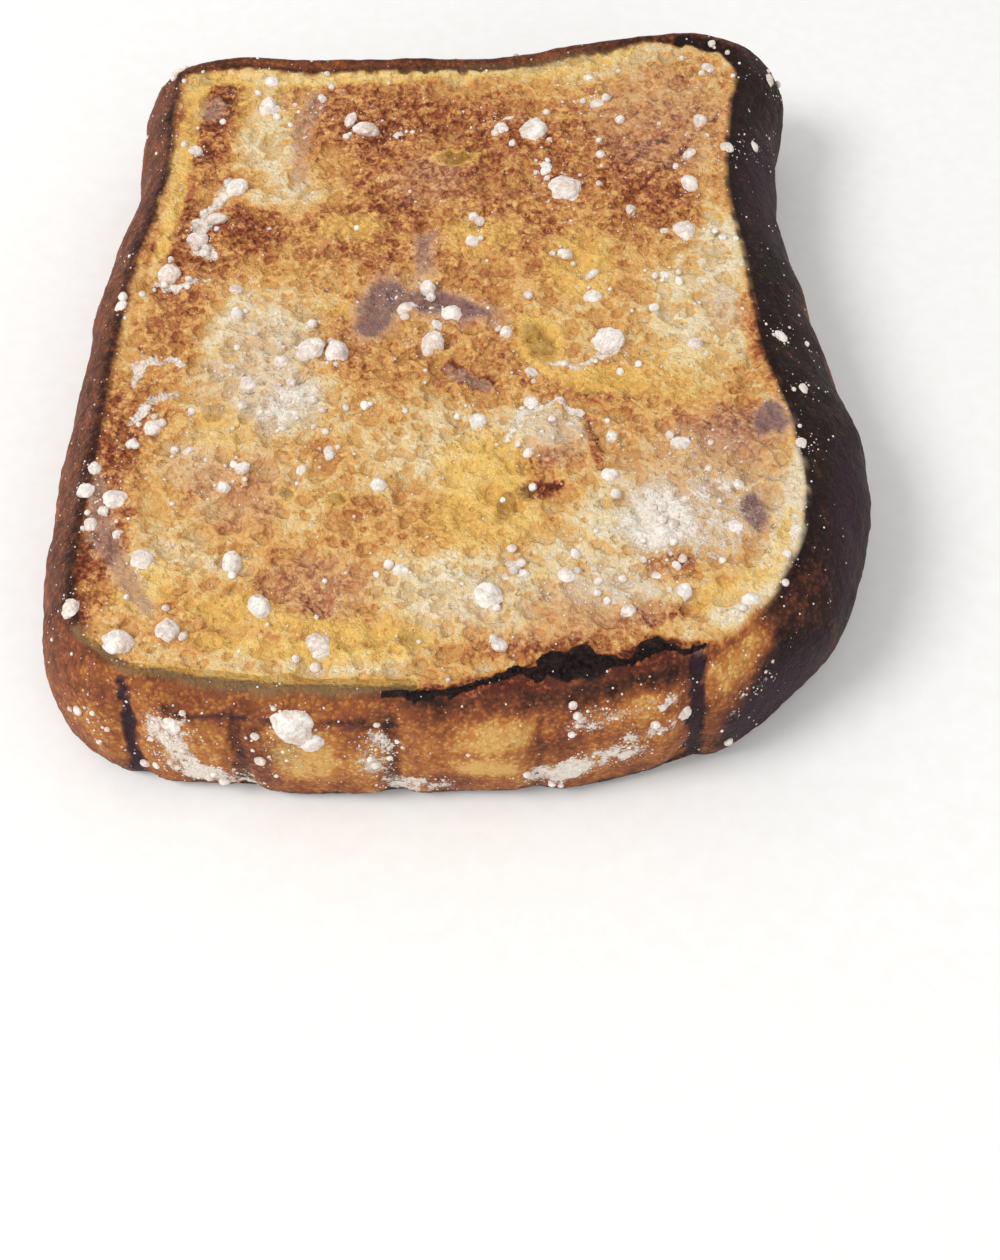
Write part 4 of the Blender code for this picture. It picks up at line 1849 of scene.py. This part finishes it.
@dataclass(frozen=True)
class Tint:
    """A tint on the crumb, where one of the slice's attributes is strong."""

    # The colours where the area is faint and where it is strong, and where one becomes the other.
    faint: Row
    strong: Row
    change: Row
    # How much the fine mottle and the fried walls break the area up, and where it starts.
    fine: float
    fried: float
    start: Row


@dataclass(frozen=True)
class BreadNodes:
    """What several parts of the bread's material read."""

    pen: NodePen
    uneven: Outputs
    cells: Outputs
    skin: Outputs
    dusting: Outputs
    grain: Socket
    fried: Socket
    crust: Socket
    mauve: Socket
    olive: Socket
    char: Socket


@dataclass(frozen=True)
class ToastedBread:
    """The bread's finish: egg-soaked crumb fried golden, with a dark baked crust."""

    crumb: Stops = (
        (0.0, (238, 222, 188)),
        (0.16, (232, 203, 149)),
        (0.34, (227, 177, 106)),
        (0.5, (211, 152, 88)),
        (0.66, (182, 115, 70)),
        (0.82, (142, 74, 46)),
        (1.0, (88, 43, 30)),
    )
    crust: Stops = (
        (0.0, (224, 178, 104)),
        (0.22, (192, 124, 62)),
        (0.45, (144, 80, 46)),
        (0.66, (98, 55, 35)),
        (0.85, (55, 29, 22)),
        (1.0, (30, 16, 14)),
    )
    # Painted shade inside the pores: the crumb darkens towards this colour there.
    pit_shade: Row = (150, 92, 50)
    # The purple of the plum areas on the crust: painted sheen, and painted shade in the creases.
    plum_sheen_and_shade: Row = (60, 37, 52)
    # Painted shade: the olive grey of the near rim's crust.
    olive_rim_shade: Row = (140, 113, 76)
    charcoal: Row = (24, 14, 16)
    ember: Row = (58, 36, 34)
    sugar: Row = (252, 243, 231)
    # Along the near rim, where the olive attribute is full, the strong colour is painted shade.
    yellow: Tint = Tint(
        faint=(243, 201, 106), strong=(176, 136, 58), change=(0.44, 0.75), fine=0.8, fried=-0.25,
        start=(0.0, 0.15),
    )
    yellow_cover: Row = (0.04, 0.42, 0.0, 0.62)
    rosy: Tint = Tint(
        faint=(212, 172, 144), strong=(138, 108, 106), change=(0.35, 0.85), fine=0.9, fried=-0.30,
        start=(0.0, 0.2, 0.0, 0.95),
    )
    rosy_cover: float = 1.15

    # The fried walls and speckles, and how strong they are on pale and on brown crumb.
    speckle_noise: Row = (0.55, 3.0, 0.6)
    speckle: Row = (0.38, 0.62, -0.5, 0.5)
    fried_walls: float = 0.55
    fried_speckle: float = 0.5
    contrast: Row = (0.22, 0.62, 0.14, 0.38)
    # How much the mottle and the rims of the pores brown the crumb, how much the pinholes darken it as
    # painted shade, and how much painted shade darkens the pores.
    coarse_brown: float = 0.56
    fine_brown: float = 0.20
    hole_shade: float = 0.10
    rim_brown: float = 0.30
    rim_start: Row = (0.02, 0.35)
    pit_shade_share: float = 0.22
    # How much the grain, the mottle and the skin change the crust's tone.
    grain_stretch: Row = (1.0, 1.0, 0.6)
    grain_noise: Row = (1.1, 5.0, 0.62)
    skin_size: float = 0.6
    grain_tone: float = 0.50
    coarse_tone: float = 0.45
    skin_tone: float = 0.16
    # How the painted plum sheen and crease shade are broken up, and where they start.
    coarse_plum: float = 1.6
    fine_plum: float = 1.2
    plum_start: Row = (0.0, 0.3, 0.0, 0.72)
    # How much the olive grey of the painted rim shade covers the crust.
    rim_shade_share: float = 0.75
    # The char's ragged edge and its glow.
    fine_char: float = 0.7
    char_edge: Row = (0.3, 0.62)
    glow: Row = (-0.05, 0.22)
    sugar_share: float = 0.90

    crumb_roughness: float = 0.52
    crust_roughness: float = 0.60
    sugar_roughness: float = 0.92
    char_roughness: float = 0.40
    coarse_roughness: float = 0.35
    # Heights of the fine relief, as shares of its full depth in millimetres.
    hole_height: float = -0.9
    fried_height: float = 0.6
    grain_height: float = 1.8
    skin_wall_height: float = 0.45
    skin_hole_height: float = -0.5
    char_height: float = 1.2
    sugar_height: float = 0.55
    relief_strength: float = 0.9
    relief_depth: float = 0.40
    specular: float = 0.15
    glow_weight: float = 0.06
    glow_radius: Row = (0.0016, 0.0008, 0.0004)

    def _nodes(self, pen: NodePen, effects: Effects) -> BreadNodes:
        """Reads the slice's attributes and places the effects.

        Args:
            pen: the pen for the material's nodes.
            effects: the node groups.

        Returns:
            What the parts of the material read.
        """
        place = pen.place()
        uneven = pen.use(effects.uneven, Vector=place)
        cells = pen.use(effects.crumb, Vector=place, Size=1.0)
        speckle = pen.spread(pen.noise(place, *self.speckle_noise), *self.speckle)
        walls = pen.math("SUBTRACT", cells["Walls"], 0.5)
        ragged = pen.total(pen.known(Field.CHAR), (uneven["Fine"], self.fine_char))
        return BreadNodes(
            pen=pen,
            uneven=uneven,
            cells=cells,
            skin=pen.use(effects.crumb, Vector=place, Size=self.skin_size),
            dusting=pen.use(effects.powder, Vector=place, Amount=pen.known(Field.SUGAR)),
            grain=pen.noise(pen.stretched(place, self.grain_stretch), *self.grain_noise),
            fried=pen.total(pen.times(speckle, self.fried_speckle), (walls, self.fried_walls)),
            crust=pen.known(Field.CRUST),
            mauve=pen.known(Field.MAUVE),
            olive=pen.known(Field.OLIVE_AND_RIM_SHADE),
            char=pen.spread(ragged, *self.char_edge),
        )

    def _tinted(self, nodes: BreadNodes, crumb: Socket, tint: Tint, area: Socket, cover: Socket,
                clamp: bool = False) -> Socket:
        """Lays a tint over the crumb's colour.

        Args:
            nodes: what the material reads.
            crumb: the crumb's colour.
            tint: the tint.
            area: the attribute that it follows.
            cover: how much of it shows, before it is broken up.
            clamp: whether this is kept between 0 and 1 after the fine mottle.

        Returns:
            The tinted colour.
        """
        pen = nodes.pen
        share = pen.total(cover, (nodes.uneven["Fine"], tint.fine), clamp=clamp)
        share = pen.times(pen.total(share, (nodes.fried, tint.fried)), pen.spread(area, *tint.start))
        colour = pen.blend(pen.spread(area, *tint.change), shade(tint.faint), shade(tint.strong))
        return pen.blend(share, crumb, colour)

    def _crumb_colour(self, nodes: BreadNodes) -> Socket:
        """Colours the crumb.

        Args:
            nodes: what the material reads.

        Returns:
            The colour, with painted shade in its pores and pinholes, and its tints.
        """
        pen, uneven = nodes.pen, nodes.uneven
        pore = pen.known(Field.PORE)
        base = pen.total(pen.known(Field.BROWNING), (uneven["Coarse"], self.coarse_brown))
        browning = pen.total(
            base,
            (nodes.fried, pen.spread(base, *self.contrast)),
            (uneven["Fine"], self.fine_brown),
            (nodes.cells["Holes"], self.hole_shade),
            (pen.math("SUBTRACT", pen.spread(pore, *self.rim_start), pore), self.rim_brown),
            clamp=True,
        )
        # Painted shade darkens the crumb inside the pores.
        crumb = pen.blend(pen.times(pore, self.pit_shade_share), pen.ramp(browning, self.crumb), shade(self.pit_shade))
        yellow_cover = pen.spread(nodes.olive, *self.yellow_cover)
        crumb = self._tinted(nodes, crumb, self.yellow, nodes.olive, yellow_cover)
        rosy_cover = pen.times(nodes.mauve, self.rosy_cover)
        return self._tinted(nodes, crumb, self.rosy, nodes.mauve, rosy_cover, clamp=True)

    def _crust_colour(self, nodes: BreadNodes) -> Socket:
        """Colours the crust.

        Args:
            nodes: what the material reads.

        Returns:
            The colour, with its plum areas of painted sheen and painted crease shade, and its olive areas,
            which are partly painted shade along the near rim.
        """
        pen, uneven, mauve = nodes.pen, nodes.uneven, nodes.mauve
        tone = pen.total(
            pen.known(Field.CRUST_TONE),
            (pen.math("SUBTRACT", nodes.grain, 0.5), self.grain_tone),
            (uneven["Coarse"], self.coarse_tone),
            (pen.math("SUBTRACT", nodes.skin["Walls"], 0.5), self.skin_tone),
            clamp=True,
        )
        shares = (uneven["Coarse"], self.coarse_plum), (uneven["Fine"], self.fine_plum)
        plum_sheen_and_shade = pen.times(pen.total(mauve, *shares, clamp=True), pen.spread(mauve, *self.plum_start))
        crust = pen.blend(plum_sheen_and_shade, pen.ramp(tone, self.crust), shade(self.plum_sheen_and_shade))
        return pen.blend(pen.times(nodes.olive, self.rim_shade_share), crust, shade(self.olive_rim_shade))

    def _colour(self, nodes: BreadNodes) -> Socket:
        """Colours the bread: crumb, crust, char and the sugar film.

        Args:
            nodes: what the material reads.

        Returns:
            The whole colour.
        """
        pen = nodes.pen
        colour = pen.blend(nodes.crust, self._crumb_colour(nodes), self._crust_colour(nodes))
        glow = pen.spread(nodes.uneven["Fine"], *self.glow)
        colour = pen.blend(nodes.char, colour, pen.blend(glow, shade(self.charcoal), shade(self.ember)))
        return pen.blend(pen.times(nodes.dusting["Mask"], self.sugar_share), colour, shade(self.sugar))

    def _roughness(self, nodes: BreadNodes) -> Socket:
        """Works out how rough the bread is.

        Args:
            nodes: what the material reads.

        Returns:
            The roughness.
        """
        pen = nodes.pen
        roughness = pen.total(
            self.crumb_roughness,
            (nodes.uneven["Coarse"], self.coarse_roughness),
            (nodes.crust, self.crust_roughness - self.crumb_roughness),
            (nodes.char, self.char_roughness - self.crumb_roughness),
        )
        return pen.math("MAXIMUM", roughness, pen.times(nodes.dusting["Mask"], self.sugar_roughness))

    def _height(self, nodes: BreadNodes) -> Socket:
        """Works out the fine relief.

        Args:
            nodes: what the material reads.

        Returns:
            The height, as a share of the relief's full depth.
        """
        pen, cells, skin = nodes.pen, nodes.cells, nodes.skin
        crumb = pen.total(
            nodes.uneven["Fine"], (cells["Holes"], self.hole_height), (nodes.fried, self.fried_height)
        )
        crust = pen.total(
            pen.times(nodes.grain, self.grain_height),
            (skin["Walls"], self.skin_wall_height),
            (skin["Holes"], self.skin_hole_height),
        )
        crumb = pen.times(crumb, pen.math("SUBTRACT", 1.0, nodes.crust))
        return pen.total(
            pen.math("ADD", crumb, pen.times(crust, nodes.crust)),
            (pen.times(nodes.char, cells["Walls"]), self.char_height),
            (nodes.dusting["Height"], self.sugar_height),
        )

    def material(self, effects: Effects) -> bpy.types.Material:
        """Builds the bread's material.

        Args:
            effects: the node groups.

        Returns:
            The material.
        """
        material, pen, shader = new_material("fried_bread")
        nodes = self._nodes(pen, effects)
        pen.fill(
            shader,
            Base_Color=self._colour(nodes),
            Roughness=self._roughness(nodes),
            Normal=pen.relief(self._height(nodes), self.relief_strength, self.relief_depth),
            Specular_IOR_Level=self.specular,
            Subsurface_Weight=self.glow_weight,
            Subsurface_Radius=self.glow_radius,
            Subsurface_Scale=1.0,
        )
        return material


@dataclass(frozen=True)
class IcingSugar:
    """The sugar's finish: matt, pinkish white and powdery."""

    pale: Row = (246, 238, 230)
    damp: Row = (226, 205, 190)
    dampness: Row = (-0.12, 0.22)
    roughness: float = 0.9
    damp_roughness: float = -0.15
    powder_amount: float = 0.55
    hole_size: float = 0.7
    powder_height: float = 0.8
    hole_height: float = -0.3
    relief_strength: float = 0.9
    relief_depth: float = 0.22
    glow_weight: float = 0.15
    glow_radius: Row = (0.0010, 0.0008, 0.0006)

    def material(self, effects: Effects) -> bpy.types.Material:
        """Builds the sugar's material.

        Args:
            effects: the node groups.

        Returns:
            The material.
        """
        material, pen, shader = new_material("icing_sugar")
        place = pen.place()
        uneven = pen.use(effects.uneven, Vector=place)
        dusting = pen.use(effects.powder, Vector=place, Amount=self.powder_amount)
        damp = pen.spread(pen.math("ADD", uneven["Coarse"], uneven["Fine"]), *self.dampness)
        holes = pen.use(effects.crumb, Vector=place, Size=self.hole_size)["Holes"]
        height = pen.total(
            uneven["Fine"], (dusting["Height"], self.powder_height), (holes, self.hole_height)
        )
        pen.fill(
            shader,
            Base_Color=pen.blend(damp, shade(self.pale), shade(self.damp)),
            Roughness=pen.total(self.roughness, (damp, self.damp_roughness)),
            Normal=pen.relief(height, self.relief_strength, self.relief_depth),
            Subsurface_Weight=self.glow_weight,
            Subsurface_Radius=self.glow_radius,
            Subsurface_Scale=1.0,
        )
        return material


@dataclass(frozen=True)
class WhiteGround:
    """The plain pale ground that the slice lies on."""

    colour: Row = (246, 246, 245)
    tint: Row = (242, 241, 239)
    tint_areas: Row = (-0.3, 0.3)
    roughness: float = 0.85

    def material(self, effects: Effects) -> bpy.types.Material:
        """Builds the ground's material.

        Args:
            effects: the node groups.

        Returns:
            The material.
        """
        material, pen, shader = new_material("white_ground")
        uneven = pen.use(effects.uneven, Vector=pen.place())
        tinted = pen.spread(uneven["Coarse"], *self.tint_areas)
        colour = pen.blend(tinted, shade(self.colour), shade(self.tint))
        pen.fill(shader, Base_Color=colour, Roughness=self.roughness)
        return material


@dataclass(frozen=True)
class SoftLight:
    """One round soft light that looks at the slice: its place and size in metres, and its watts."""

    name: str
    place: Row
    size: float
    watts: float
    colour: Row

    def build(self) -> None:
        """Makes the light and aims it at the slice."""
        lamp = bpy.data.lights.new(self.name, "AREA")
        lamp.shape = "DISK"
        lamp.size = self.size
        lamp.energy = self.watts
        lamp.color = self.colour
        holder = add_object(self.name, lamp)
        holder.location = self.place
        holder.rotation_euler = (-Vector(self.place)).to_track_quat("-Z", "Y").to_euler()


@dataclass
class Studio:
    """The pale ground, the soft lights and the camera."""

    ground_size: float = 16.0
    camera_place: Row = (4.75, -149.2, 191.0)
    camera_tilt: float = 30.0
    focal_length: float = 54.0
    film_width: float = 36.0
    nearest: float = 0.01
    furthest: float = 20.0
    surround: Row = (1.0, 1.0, 1.0, 1.0)
    surround_strength: float = 0.66
    lights: tuple[SoftLight, ...] = (
        SoftLight("key_light", (-0.68, -0.24, 0.84), 0.45, 7.0, (1.0, 0.98, 0.96)),
        SoftLight("fill_light", (0.45, -0.85, 0.6), 0.8, 1.8, (1.0, 0.99, 0.98)),
    )

    def build(self, finish: bpy.types.Material) -> Piece:
        """Makes the ground, lights and camera.

        Args:
            finish: the ground's material.

        Returns:
            The ground's object.
        """
        shape = bmesh.new()
        bmesh.ops.create_grid(shape, x_segments=1, y_segments=1, size=self.ground_size / 2.0)
        mesh = bpy.data.meshes.new("ground")
        shape.to_mesh(mesh)
        shape.free()
        mesh.materials.append(finish)
        ground = add_object("ground", mesh)
        for light in self.lights:
            light.build()
        self._surround()
        self._aim_camera()
        return ground

    def _surround(self) -> None:
        """Makes the plain surround and keeps colours as they are set."""
        world = bpy.data.worlds.new("soft_room")
        world.use_nodes = True
        sky = world.node_tree.nodes["Background"]
        sky.inputs["Color"].default_value = self.surround
        sky.inputs["Strength"].default_value = self.surround_strength
        bpy.context.scene.world = world
        bpy.context.scene.view_settings.view_transform = "Standard"

    def _aim_camera(self) -> None:
        """Makes the camera and looks down at the slice."""
        view = bpy.data.cameras.new("camera")
        view.sensor_fit = "HORIZONTAL"
        view.sensor_width = self.film_width
        view.lens = self.focal_length
        view.clip_start = self.nearest
        view.clip_end = self.furthest
        camera = add_object("camera", view)
        camera.location = Vector(self.camera_place) * MM
        camera.rotation_euler = (math.radians(self.camera_tilt), 0.0, 0.0)
        bpy.context.scene.camera = camera


def surface_of(piece: Piece) -> BVHTree:
    """Prepares a piece for rays.

    Args:
        piece: an object with a mesh.

    Returns:
        Its surface, in metres.
    """
    shape = bmesh.new()
    shape.from_mesh(piece.data)
    surface = BVHTree.FromBMesh(shape)
    shape.free()
    return surface


def main() -> None:
    """Builds the slice, its sugar and the studio, and says what rides where."""
    logging.basicConfig(level=logging.INFO, format="%(name)s: %(message)s")
    effects = Effects(FinePowder().group(), UnevenColouring().group(), FineCrumb().group())

    bread = BreadSlice()
    slice_piece = bread.build()
    slice_piece.data.materials.append(ToastedBread().material(effects))
    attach(slice_piece, "root")
    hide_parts("toast")
    LOG.info("%s: %d points", slice_piece.name, len(slice_piece.data.vertices))

    sugar = SugarScatter(surface_of(slice_piece), bread.shift)
    finish = IcingSugar().material(effects)
    for piece in (sugar.build_clumps(), sugar.build_loose(sugar.grains), sugar.build_loose(sugar.dust)):
        piece.data.materials.append(finish)
        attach(piece, "root")
        LOG.info("%s: %d triangles", piece.name, len(piece.data.polygons))

    studio = Studio()
    ground = studio.build(WhiteGround().material(effects))
    LOG.info("%s: %g metres wide", ground.name, studio.ground_size)


if __name__ == "__main__":
    main()
